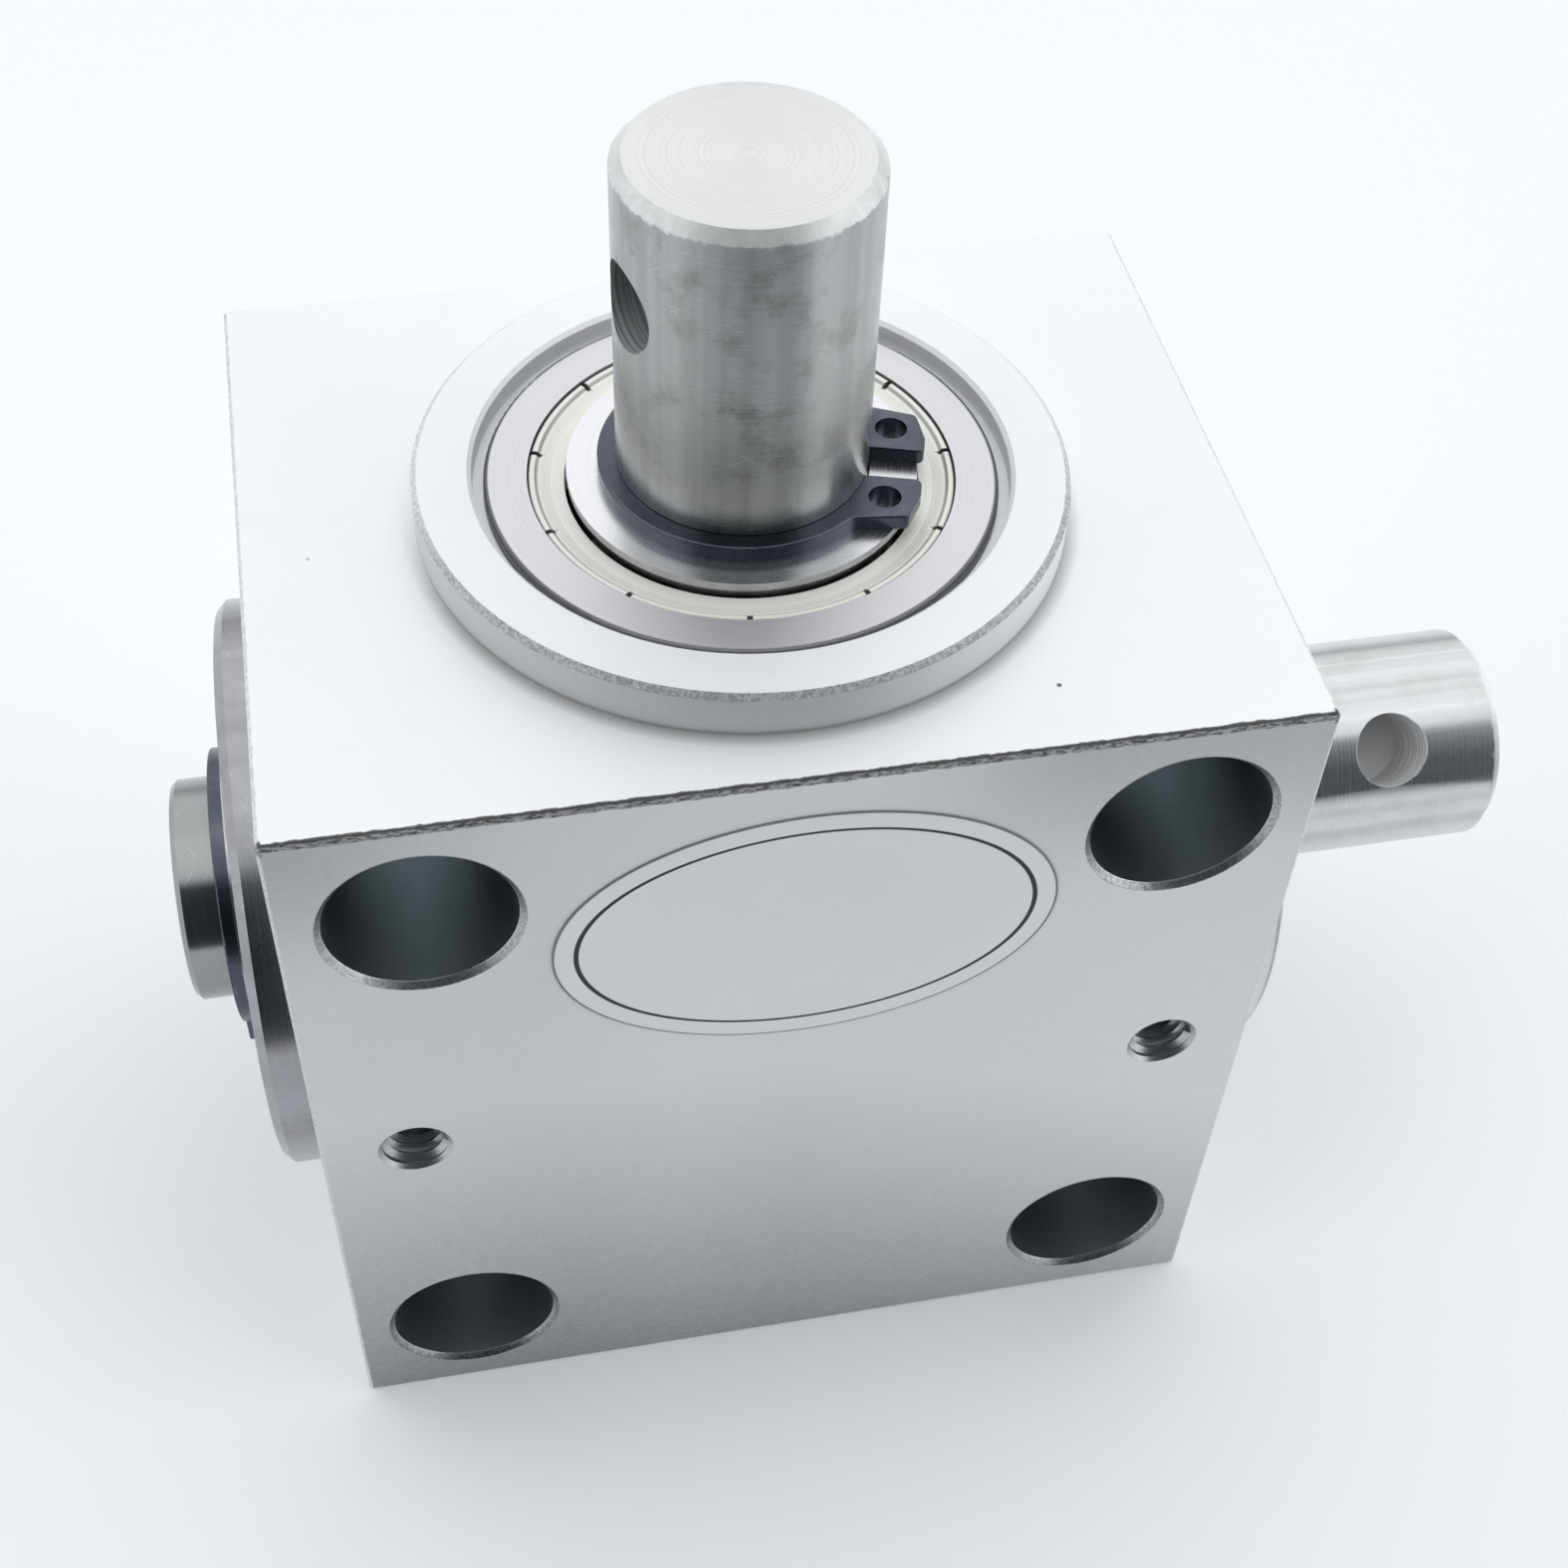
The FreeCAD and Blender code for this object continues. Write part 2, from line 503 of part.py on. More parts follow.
def snap_ring(label, width, rotation, along, axis):
    """An external snap ring with two lugs towards its own +X, lying on z = 0."""
    body = piece(label)
    rim = f"({GROOVE_R} + {width})"
    disc = sketch_on(body, "XY_Plane")
    circle(disc, ("0", "0"), rim)
    feature(body, "Pad", disc, length="clip_thickness")

    lugs = sketch_on(body, "XY_Plane")
    tip = f"({GROOVE_R} + lug_reach)"
    shoulder = f"({tip} - lug_corner_drop)"
    root = "sqrt(shaft_diameter ^ 2 / 4 - lug_root ^ 2)"
    polygon(lugs, [(SHAFT_R, "0"), (root, "-lug_root"), (shoulder, "-lug_corner"), (tip, "-lug_tip"),
                   (tip, "lug_tip"), (shoulder, "lug_corner"), (root, "lug_root")])
    feature(body, "Pad", lugs, length="clip_thickness")

    bore = sketch_on(body, "XY_Plane")
    circle(bore, ("0", "0"), f"{GROOVE_R} + fit_gap")
    feature(body, "Pocket", bore, Type="ThroughAll", Midplane=True)
    cuts = sketch_on(body, "XY_Plane")
    gap = "clip_opening / 2"
    polygon(cuts, [(SHAFT_R + " / 2", f"-{gap}"), ("shaft_diameter", f"-{gap}"), ("shaft_diameter", gap),
                   (SHAFT_R + " / 2", gap)])
    for side in ("", "-"):
        across = f"{side}lug_hole_radius * sin(lug_hole_angle * 1 deg)"
        circle(cuts, ("lug_hole_radius * cos(lug_hole_angle * 1 deg)", across), "lug_hole_diameter / 2")
    feature(body, "Pocket", cuts, Type="ThroughAll", Midplane=True)

    ring_r = size(rim)
    dress_edges(body, "Fillet", "lug_root_rounding", lambda edge: math.isclose(corner_r(body, edge), ring_r))
    dress_edges(body, "Fillet", "lug_rounding", lambda edge: corner_r(body, edge) > ring_r)
    top = size("clip_thickness")
    outer_face = next(face for face in body.Shape.Faces if math.isclose(face.BoundBox.ZMin, top))
    outline = outer_face.OuterWire.Edges
    dress_edges(body, "Fillet", "clip_edge", lambda edge: any(edge.isSame(other) for other in outline))
    place(body, rotation, along, axis)


def ball_groove(body):
    """Cut the ball groove into a bearing ring."""
    sketch = sketch_on(body, "XZ_Plane")
    circle(sketch, (BALL_CIRCLE_R, "bearing_width / 2"), f"{BALL_R} + race_gap")
    feature(body, "Groove", sketch, ReferenceAxis=(sketch, ["V_Axis"]), Angle=FULL_TURN)


def outer_ring(label, flanged):
    """A bearing's outer ring about its own +Z, from z = 0 to its outer face."""
    body = piece(label)
    land = OUTER_LAND
    out = f"({SEAT_R} - fit_gap)"
    points = [(land, "0"), (f"{out} - ring_corner", "0"), (out, "ring_corner")]
    if flanged:
        rim = "flange_diameter / 2"
        points += [(out, "bearing_width - flange_width"), (rim, "bearing_width - flange_width"),
                   (rim, "bearing_width - flange_chamfer"), (f"{rim} - flange_chamfer", "bearing_width")]
    else:
        points += [(out, "bearing_width")]
    turned(body, points + [(land, "bearing_width")])
    if not flanged:
        edges = (size("bearing_width"),)
        dress_edges(body, "Fillet", "ring_corner", lambda edge: is_ring(edge, size(out), 2, edges))
    ball_groove(body)
    return body


def inner_ring(label):
    """A bearing's inner ring about its own +Z."""
    body = piece(label)
    turned(body, [(f"{BORE_R} + ring_chamfer", "0"), (INNER_LAND, "0"), (INNER_LAND, "bearing_width"),
                  (f"{BORE_R} + ring_chamfer", "bearing_width"), (BORE_R, "bearing_width - ring_chamfer"),
                  (BORE_R, "ring_chamfer")])
    ball_groove(body)
    return body


def balls(label):
    """A bearing's balls, on their circle about the bearing's own +Z."""
    item = doc.addObject("Part::Feature", label)
    item.Label = label
    count = int(size("ball_count"))
    centre = FreeCAD.Vector(size(BALL_CIRCLE_R), 0, size("bearing_width / 2"))
    spheres = []
    for i in range(count):
        turn = FreeCAD.Rotation(FreeCAD.Vector(0, 0, 1), FULL_TURN * i / count)
        spheres.append(Part.makeSphere(size(BALL_R), turn.multVec(centre)))
    item.Shape = Part.makeCompound(spheres)
    pieces.append(item)
    return item


def cage(label):
    """A bearing's ball cage: a ring with one round pocket for each ball."""
    body = piece(label)
    inside = f"({BALL_CIRCLE_R} - cage_thickness / 2)"
    outside = f"({BALL_CIRCLE_R} + cage_thickness / 2)"
    half = f"({BALL_R} + pocket_gap + cage_side)"
    low = f"bearing_width / 2 - {half}"
    high = f"bearing_width / 2 + {half}"
    turned(body, [(inside, low), (outside, low), (outside, high), (inside, high)])
    sketch = sketch_on(body, "YZ_Plane")
    circle(sketch, ("0", "bearing_width / 2"), f"{BALL_R} + pocket_gap")
    pocket = feature(body, "Pocket", sketch, length=SEAT_R, Reversed=True)
    repeat_round(body, pocket, "ball_count")
    return body


def shield(label):
    """A bearing's pressed shield: a rolled rim slit all round, and a dished plate towards the inner ring."""
    body = piece(label)
    out = f"({OUTER_LAND} - fit_gap)"
    rim = f"({out} - rim_width)"
    inner = f"({INNER_LAND} + shield_gap)"
    top = "(bearing_width - shield_drop)"
    roll = "shield_sheet / 2"
    plate = f"({top} - shield_dish)"
    foot = f"({plate} - shield_sheet)"
    turned(body, [(inner, foot), (out, foot), (out, f"{top} - {roll}"), (f"{out} - {roll}", top),
                  (f"{rim} + {roll}", top), (rim, f"{top} - {roll}"), (f"{rim} - shield_slope", plate),
                  (inner, plate)])
    slit = sketch_on(body, "XY_Plane", f"{top} - crimp_depth")
    half = "crimp_slit / 2"
    inside = f"({rim} - rim_width)"
    polygon(slit, [(inside, f"-{half}"), (SEAT_R, f"-{half}"), (SEAT_R, half), (inside, half)])
    cut = feature(body, "Pocket", slit, length="crimp_depth + shield_drop", Reversed=True)
    repeat_round(body, cut, "crimp_count")
    return body


def bearing(name, rotation, along, axis, flanged=False, shielded=True):
    """A ball bearing: its rings, balls and cage, and a shield on its outer side."""
    made = [outer_ring(f"{name}_outer_ring", flanged), inner_ring(f"{name}_inner_ring"),
            balls(f"{name}_balls"), cage(f"{name}_cage")]
    if shielded:
        made.append(shield(f"{name}_shield"))
    for item in made:
        place(item, rotation, along, axis)


def check():
    """Stop if any object failed, or any part is missing or broken."""
    for item in doc.Objects:
        if {"Invalid", "Error"} & set(item.State):
            raise RuntimeError(f"{item.Label}: {item.State}")
    for item in pieces:
        if item.Shape.isNull() or not item.Shape.isValid() or not item.Shape.Solids:
            raise RuntimeError(f"{item.Label}: no valid solid")


def main():
    """Build every part, check them all and write each to its own file."""
    housing()
    shafts()
    gear("vertical_gear", UP)
    key("vertical_gear_key", UP)
    gear("cross_gear", TO_LEFT)
    key("cross_gear_key", TO_LEFT)
    sleeve("cross_spacer", BORE_R, "spacer_diameter / 2", f"{LEFT_FLOOR} - {GEAR_MOUNT}", TO_LEFT,
           f"-{GEAR_MOUNT}", "x")

    bearing("top_bearing", UP, f"{TOP_FACE} - bearing_width", "z")
    bearing("lower_bearing", UP, SEAT_FLOOR, "z", shielded=False)
    bearing("right_bearing", TO_RIGHT, RIGHT_FLOOR, "x")
    bearing("left_bearing", TO_LEFT, f"-{LEFT_FLOOR}", "x", flanged=True)

    shim = (f"{SHAFT_R} + shim_gap", "shim_diameter / 2")
    sleeve("top_shim", *shim, "shim_thickness", UP, TOP_FACE, "z")
    sleeve("right_shim", *shim, "shim_thickness", TO_RIGHT, RIGHT_FACE, "x")
    sleeve("left_shim", *shim, "left_shim_thickness", TO_LEFT, f"-{LEFT_FACE}", "x")

    lugs_right = FreeCAD.Rotation(FreeCAD.Vector(0, 0, 1), size("top_clip_angle"))
    lugs_down = FreeCAD.Rotation(FreeCAD.Vector(0, 0, 1), size("left_clip_angle"))
    left_along = f"-{LEFT_FACE} - left_shim_thickness"
    snap_ring("top_circlip", "clip_width", lugs_right, f"{TOP_FACE} + shim_thickness", "z")
    snap_ring("left_circlip", "left_clip_width", TO_LEFT.multiply(lugs_down), left_along, "x")
    snap_ring("right_circlip", "clip_width", TO_RIGHT, f"{RIGHT_FACE} + shim_thickness", "x")
    snap_ring("right_inner_circlip", "clip_width", TO_RIGHT, f"{RIGHT_FLOOR} - clip_thickness", "x")

    doc.recompute()
    check()
    os.makedirs("parts", exist_ok=True)
    for item in pieces:
        item.Shape.exportStep(f"parts/{item.Label}.step")
        print(item.Label, len(item.Shape.Solids), round(item.Shape.Volume, 3))


main()
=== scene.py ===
"""Right angle gearbox: finishes, label, threads, floor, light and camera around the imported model."""
import logging
import math
from dataclasses import dataclass
from enum import Enum
from functools import reduce
from typing import Callable, Union

import bpy
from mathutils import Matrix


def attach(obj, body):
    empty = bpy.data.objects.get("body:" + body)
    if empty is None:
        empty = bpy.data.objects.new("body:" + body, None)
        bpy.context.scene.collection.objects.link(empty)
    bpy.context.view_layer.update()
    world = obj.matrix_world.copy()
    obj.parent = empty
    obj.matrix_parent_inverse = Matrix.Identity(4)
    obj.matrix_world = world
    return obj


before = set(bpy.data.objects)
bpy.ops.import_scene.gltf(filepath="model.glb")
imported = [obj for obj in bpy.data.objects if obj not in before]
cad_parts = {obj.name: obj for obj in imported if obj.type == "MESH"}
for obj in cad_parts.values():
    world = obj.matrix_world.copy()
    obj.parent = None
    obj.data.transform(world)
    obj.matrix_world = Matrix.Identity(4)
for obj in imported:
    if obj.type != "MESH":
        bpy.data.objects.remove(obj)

log = logging.getLogger("gearbox")

MM = 0.001
PHOTO_SIDE = 1575
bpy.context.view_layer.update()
AXIS_HEIGHT = 30.0
FRONT = -23.2
SMOOTH_ANGLE = math.radians(35)
WELD = 1e-6

Socket = bpy.types.NodeSocket
Feed = Union[Socket, float, tuple]
Colour = tuple[float, float, float]
Pair = tuple[float, float]


def dimmed(colour: Colour, factor: float) -> Colour:
    """Return a colour with each of its parts times a factor."""
    return tuple(factor * value for value in colour)


class Line(Enum):
    """The two lines that pieces are turned about."""

    UPRIGHT = "upright"
    ACROSS = "across"


class Graph:
    """A node tree filled by short calls."""

    def __init__(self, tree: bpy.types.NodeTree) -> None:
        """Keep the tree."""
        self.tree = tree

    def feed(self, socket: Socket, feed: Feed) -> None:
        """Link an output to an input, or set the input's value.

        Args:
            socket: The input.
            feed: An output to link, or a number, vector or colour.
        """
        if isinstance(feed, bpy.types.NodeSocket):
            self.tree.links.new(feed, socket)
        elif socket.type == "RGBA" and len(feed) == 3:
            socket.default_value = (*feed, 1.0)
        else:
            socket.default_value = feed

    def node(self, kind: str, feeds: dict | None = None, **settings: object) -> bpy.types.Node:
        """Add a node.

        Args:
            kind: The node's type.
            feeds: What goes into its inputs, by name or number.
            **settings: The node's own properties.

        Returns:
            The node.
        """
        made = self.tree.nodes.new(kind)
        for name, value in settings.items():
            setattr(made, name, value)
        self.fill(made, feeds or {})
        return made

    def fill(self, node: bpy.types.Node, feeds: dict) -> None:
        """Link or set a node's inputs, by name or number."""
        for name, value in feeds.items():
            self.feed(node.inputs[name], value)

    def math(self, operation: str, first: Feed, second: Feed = 0.0) -> Socket:
        """Return the result of a sum on one or two values."""
        return self.node("ShaderNodeMath", {0: first, 1: second}, operation=operation).outputs[0]

    def times(self, first: Feed, second: Feed) -> Socket:
        """Return the product of two values."""
        return self.math("MULTIPLY", first, second)

    def plus(self, first: Feed, second: Feed) -> Socket:
        """Return the sum of two values."""
        return self.math("ADD", first, second)

    def minus(self, first: Feed, second: Feed) -> Socket:
        """Return the first value less the second."""
        return self.math("SUBTRACT", first, second)

    def fade(self, value: Feed, low: float, high: float) -> Socket:
        """Return 0 below low and 1 above high, with a smooth step between.

        Args:
            value: What is tested.
            low: Where the step starts. It may lie above high, and the step then falls.
            high: Where the step ends.

        Returns:
            The step's output.
        """
        down = low > high
        feeds = {0: value, 1: min(low, high), 2: max(low, high), 3: float(down), 4: float(not down)}
        return self.node("ShaderNodeMapRange", feeds, interpolation_type="SMOOTHSTEP").outputs[0]

    def spread(self, value: Feed, low: float, high: float) -> Socket:
        """Return a value from 0 to 1 spread between two limits."""
        return self.node("ShaderNodeMapRange", {0: value, 3: low, 4: high}).outputs[0]

    def blend(self, share: Feed, first: Feed, second: Feed) -> Socket:
        """Return a colour between two colours."""
        return self.node("ShaderNodeMix", {0: share, 6: first, 7: second}, data_type="RGBA").outputs[2]

    def between(self, share: Feed, first: Feed, second: Feed) -> Socket:
        """Return a value between two values."""
        return self.node("ShaderNodeMix", {0: share, 2: first, 3: second}, data_type="FLOAT").outputs[0]

    def noise(self, vector: Feed, scale: Feed, detail: float = 2.0, roughness: float = 0.5) -> Socket:
        """Return a cloudy value from 0 to 1."""
        feeds = {"Vector": vector, "Scale": scale, "Detail": detail, "Roughness": roughness}
        return self.node("ShaderNodeTexNoise", feeds).outputs[0]

    def wave(self, along: Feed, scale: float, detail: float = 2.0) -> Socket:
        """Return a cloudy value from 0 to 1 that changes with one length only."""
        feeds = {"W": along, "Scale": scale, "Detail": detail}
        return self.node("ShaderNodeTexNoise", feeds, noise_dimensions="1D").outputs[0]

    def length(self, first: Feed, second: Feed) -> Socket:
        """Return the length of a pair of distances."""
        return self.math("SQRT", self.plus(self.times(first, first), self.times(second, second)))

    def all_of(self, *masks: Socket) -> Socket:
        """Return the product of masks."""
        return reduce(self.times, masks)

    def any_of(self, *masks: Socket) -> Socket:
        """Return the largest of masks."""
        return reduce(lambda first, second: self.math("MAXIMUM", first, second), masks)

    def parts(self, vector: Socket) -> tuple[Socket, Socket, Socket]:
        """Return a vector's three lengths."""
        return tuple(self.node("ShaderNodeSeparateXYZ", {0: vector}).outputs)


def shared_group(name: str, inputs: dict[str, float | None], outputs: list[str],
                 fill: Callable[[Graph, dict[str, Socket]], list[Socket]]) -> bpy.types.NodeTree:
    """Return a shader node group, built the first time that it is asked for.

    Args:
        name: The group's name.
        inputs: Each input's name with its default, or None for a vector.
        outputs: The outputs' names, all plain values.
        fill: Builds the inside and returns what feeds each output.

    Returns:
        The group's tree.
    """
    tree = bpy.data.node_groups.get(name)
    if tree:
        return tree
    tree = bpy.data.node_groups.new(name, "ShaderNodeTree")
    for label, default in inputs.items():
        kind = "NodeSocketVector" if default is None else "NodeSocketFloat"
        socket = tree.interface.new_socket(label, in_out="INPUT", socket_type=kind)
        if default is not None:
            socket.default_value = default
    for label in outputs:
        tree.interface.new_socket(label, in_out="OUTPUT", socket_type="NodeSocketFloat")
    graph = Graph(tree)
    entry = graph.node("NodeGroupInput")
    leave = graph.node("NodeGroupOutput")
    results = fill(graph, {label: entry.outputs[label] for label in inputs})
    for label, result in zip(outputs, results):
        graph.feed(leave.inputs[label], result)
    return tree


def grain_inside(graph: Graph, given: dict[str, Socket]) -> list[Socket]:
    """Fill the grain group: fine grit, slow clouds and rare specks.

    Args:
        graph: The group's tree.
        given: The group's inputs.

    Returns:
        Grit, cloud and speck, each from 0 to 1.
    """
    def scaled(factor: float) -> Socket:
        """Return the group's scale times a factor."""
        return graph.times(given["Scale"], factor)

    grit = graph.noise(given["Vector"], scaled(1.0), 3.0)
    cloud = graph.noise(given["Vector"], scaled(0.02), 5.0, 0.6)
    cells = graph.node("ShaderNodeTexVoronoi", {"Vector": given["Vector"], "Scale": scaled(0.028)})
    near = graph.fade(cells.outputs["Distance"], 0.05, 0.025)
    rare = graph.fade(graph.parts(cells.outputs["Color"])[0], 0.8, 0.82)
    return [grit, cloud, graph.all_of(near, rare)]


def turning_inside(graph: Graph, given: dict[str, Socket]) -> list[Socket]:
    """Fill the turning group: marks that a lathe or grinder leaves about the local Z line.

    Args:
        graph: The group's tree.
        given: The group's inputs.

    Returns:
        Radius in millimetres, ring marks by radius, line marks by height, and streaks along the line.
    """
    x, y, z = graph.parts(given["Vector"])
    radius = graph.length(x, y)
    wobble = graph.times(graph.noise(given["Vector"], 0.8), given["Wander"])
    rings = graph.wave(graph.plus(radius, wobble), 6.0, 4.0)
    lines = graph.wave(graph.plus(z, wobble), 9.0, 4.0)
    turn = graph.math("ARCTAN2", y, x)
    streaks = graph.wave(graph.plus(turn, wobble), 3.0, 4.0)
    return [radius, rings, lines, streaks]


def wear_inside(graph: Graph, given: dict[str, Socket]) -> list[Socket]:
    """Fill the wear group: fine scratches in two directions, and blotches.

    Args:
        graph: The group's tree.
        given: The group's inputs.

    Returns:
        Scratches and stains, each from 0 to 1.
    """
    found = []
    for turn in ((0.5, 0.2, 0.7), (-0.6, 0.4, 2.3)):
        feeds = {"Vector": given["Vector"], "Rotation": turn, "Scale": (2.6, 0.1, 2.6)}
        strokes = graph.node("ShaderNodeMapping", feeds, vector_type="TEXTURE").outputs[0]
        found.append(graph.fade(graph.noise(strokes, 1.0, 1.0), 0.72, 0.78))
    spots = graph.noise(given["Vector"], 0.28, 5.0, 0.65)
    stains = graph.all_of(graph.fade(spots, 0.48, 0.7), given["Stain"])
    return [graph.all_of(graph.any_of(*found), given["Scratch"]), stains]


EFFECTS = {
    "grain": ({"Vector": None, "Scale": 8.0}, ["Grit", "Cloud", "Speck"], grain_inside),
    "turning": ({"Vector": None, "Wander": 0.1}, ["Radius", "Rings", "Lines", "Streaks"], turning_inside),
    "wear": ({"Vector": None, "Scratch": 1.0, "Stain": 1.0}, ["Scratches", "Stains"], wear_inside),
}


@dataclass(frozen=True)
class Finish:
    """A surface finish, which makes its material once.

    Attributes:
        name: The material's name.
        colour: The main colour.
        roughness: How dull the surface is.
        metallic: 1 for bare metal.
    """

    name: str
    colour: Colour
    roughness: float
    metallic: float = 1.0

    def material(self) -> bpy.types.Material:
        """Make the finish's material, the first time that it is asked for.

        Returns:
            The material.
        """
        label = f"{self.name}_finish"
        made = bpy.data.materials.get(label)
        if made:
            return made
        made = bpy.data.materials.new(label)
        made.use_nodes = True
        made.node_tree.nodes.clear()
        graph = Graph(made.node_tree)
        shader = graph.node("ShaderNodeBsdfPrincipled", {"Metallic": self.metallic})
        graph.node("ShaderNodeOutputMaterial", {"Surface": shader.outputs[0]})
        self.dress(graph, shader)
        return made

    def dress(self, graph: Graph, shader: bpy.types.Node) -> None:
        """Add the finish's nodes; each finish has its own."""
        raise NotImplementedError

    def place(self, graph: Graph, line: Line = Line.UPRIGHT) -> Socket:
        """Return the surface's place in millimetres, with the piece's own line along Z.

        Args:
            graph: The material's tree.
            line: The line that the piece is turned about.

        Returns:
            The place.
        """
        feeds = {"Vector": graph.node("ShaderNodeTexCoord").outputs["Object"], "Scale": (1 / MM,) * 3}
        if line is Line.ACROSS:
            feeds["Rotation"] = (0.0, -math.pi / 2, 0.0)
            feeds["Location"] = (AXIS_HEIGHT, 0.0, 0.0)
        return graph.node("ShaderNodeMapping", feeds).outputs[0]

    @staticmethod
    def effect(graph: Graph, name: str, **feeds: Feed) -> dict[str, Socket]:
        """Place a shared group in a material.

        Args:
            graph: The material's tree.
            name: The group's name.
            **feeds: What goes into its inputs.

        Returns:
            Its outputs by name.
        """
        made = graph.node("ShaderNodeGroup", feeds, node_tree=shared_group(name, *EFFECTS[name]))
        return {socket.name: socket for socket in made.outputs}

    @staticmethod
    def bump(graph: Graph, shader: bpy.types.Node, height: Socket, strength: float, distance: float) -> None:
        """Give the shader a bumpy normal.

        Args:
            graph: The material's tree.
            shader: The shader.
            height: The bumps' height, from 0 to 1.
            strength: How much of them shows.
            distance: Their depth in millimetres.
        """
        feeds = {"Height": height, "Strength": strength, "Distance": distance * MM}
        graph.feed(shader.inputs["Normal"], graph.node("ShaderNodeBump", feeds).outputs[0])


@dataclass(frozen=True)
class BlastedAluminium(Finish):
    """The block: blasted and anodised outside, machined in its holes and seats.

    Attributes:
        half: Half the block's width, depth and height, in millimetres.
        hole_at: The through holes' offset from the face's centre.
        hole_r: The through holes' radius.
        tap_at: The small holes' offset from the face's centre.
        tap_r: Their radius.
        tap_end: Where their cut wall ends, from front to back.
        seat_r: The bearing seats' radius.
        seat_from: The height where the top seat starts, and the distance where the side seats do.
        boss_r: The bosses' radius.
        boss_rise: How far they stand out.
        edge: The width of the block's worn edges.
        boss_edge: The width of the bosses' worn edges.
        foot_shade_height: How high the painted shade at the front face's foot reaches.
        cut_colour: Bare cut metal.
        cut_roughness: How dull the machined walls are.
        bore_colour: The through holes' walls.
        seat_colour: The walls of the seats and of the small holes.
        speck_colour: The rare dark specks.
    """

    half: tuple[float, float, float] = (30.0, -FRONT, 30.0)
    hole_at: float = 22.0
    hole_r: float = 5.5
    tap_at: float = 24.2
    tap_r: float = 2.3
    tap_end: float = -10.0
    seat_r: float = 15.4
    seat_from: Pair = (45.0, 23.0)
    boss_r: float = 19.6
    boss_rise: float = 3.0
    edge: float = 0.22
    boss_edge: float = 0.3
    foot_shade_height: float = 34.0
    cut_colour: Colour = (0.82, 0.83, 0.84)
    cut_roughness: float = 0.3
    bore_colour: Colour = (0.64, 0.68, 0.7)
    seat_colour: Colour = (0.5, 0.51, 0.52)
    speck_colour: Colour = (0.06, 0.06, 0.06)

    def dress(self, graph: Graph, shader: bpy.types.Node) -> None:
        """Add grit, clouds, specks, painted shade, cut rims, worn edges and machined walls.

        Args:
            graph: The material's tree.
            shader: The shader.
        """
        place = self.place(graph)
        grain = self.effect(graph, "grain", Vector=place, Scale=7.0)
        wear = self.effect(graph, "wear", Vector=place, Scratch=0.35, Stain=0.5)
        x, y, z = graph.parts(place)
        across = graph.math("ABSOLUTE", x)
        deep = graph.math("ABSOLUTE", y)
        level = graph.minus(z, self.half[2])
        up = graph.math("ABSOLUTE", level)
        top = 2 * self.half[2]

        hole = graph.length(graph.minus(across, self.hole_at), graph.minus(up, self.hole_at))
        bore = graph.fade(hole, self.hole_r + 0.04, self.hole_r)
        rim = graph.all_of(graph.fade(hole, self.hole_r + 0.42, self.hole_r + 0.36),
                           graph.fade(deep, self.half[1] - 0.4, self.half[1] - 0.34))
        tap = graph.length(graph.minus(across, self.tap_at), level)
        tapped = graph.all_of(graph.fade(tap, self.tap_r + 0.06, self.tap_r),
                              graph.fade(y, self.tap_end, self.tap_end - 2.0))
        from_top = graph.length(x, y)
        from_side = graph.length(y, level)

        def about_lines(low: float, high: float, starts: tuple[float, ...], soft: float) -> Socket:
            """Return a mask by the distance from each shaft's line and the place along it."""
            masks = [graph.all_of(graph.fade(away, low, high), graph.fade(along, start, start + soft))
                     for away, along, start in zip((from_top, from_side), (z, across), starts)]
            return graph.any_of(*masks)

        faces = (top, self.half[0])
        seat = about_lines(self.seat_r + 0.06, self.seat_r + 0.02, self.seat_from, 1.0)
        inside = self.boss_r - self.boss_edge
        rims = tuple(face + self.boss_rise - 0.4 for face in faces)
        boss_rim = about_lines(inside - 0.08, inside, rims, 0.1)
        boss = about_lines(self.boss_r - 0.1, self.boss_r, faces, 0.1)

        sides = [graph.minus(offset, half - self.edge) for offset, half in zip((across, deep, up), self.half)]
        least = graph.math("MINIMUM", sides[0], sides[1])
        most = graph.math("MAXIMUM", sides[0], sides[1])
        second = graph.math("MAXIMUM", least, graph.math("MINIMUM", most, sides[2]))
        ragged = graph.plus(second, graph.times(graph.minus(graph.noise(place, 1.6, 4.0), 0.5), 0.3))
        corner = graph.fade(ragged, -0.05, 0.08)

        flecks = graph.noise(place, 4.5, 4.0, 0.7)
        colour = graph.blend(grain["Cloud"], dimmed(self.colour, 0.96), self.colour)
        gritty = graph.any_of(graph.times(graph.fade(grain["Grit"], 0.46, 0.25), 0.14),
                              graph.times(wear["Stains"], 0.08))
        # Painted shade on the top boss's side, lighter towards its right end, broken by fine flecks.
        boss_side_shade = graph.all_of(boss, graph.fade(x, 17.0, 0.0), graph.spread(flecks, 1.0, 0.6))
        # Painted shade where the top boss meets the top face, on the front side: a dark line at the boss's
        # foot and a soft band on the face beside it.
        boss_foot_shade = graph.all_of(boss, graph.fade(z, top, top + 0.1), graph.fade(z, top + 0.4, top + 0.12))
        boss_face_shade = graph.all_of(graph.fade(z, top - 0.1, top - 0.05), graph.fade(z, top + 0.1, top + 0.05),
                                   graph.fade(from_top, self.boss_r + 1.1, self.boss_r))
        corner_shade = graph.all_of(graph.any_of(boss_foot_shade, boss_face_shade), graph.fade(y, 4.0, -10.0))
        # Grit and stains are the block's own; the boss side, the corner at the boss's foot and the front face
        # get painted shade.
        grit_and_painted_shade = ((gritty, 0.55), (boss_side_shade, 0.68), (graph.times(corner_shade, 0.5), 0.2),
                   (self.painted_front_shade(graph, place), 0.4))
        for share, factor in grit_and_painted_shade:
            colour = graph.blend(share, colour, dimmed(self.colour, factor))

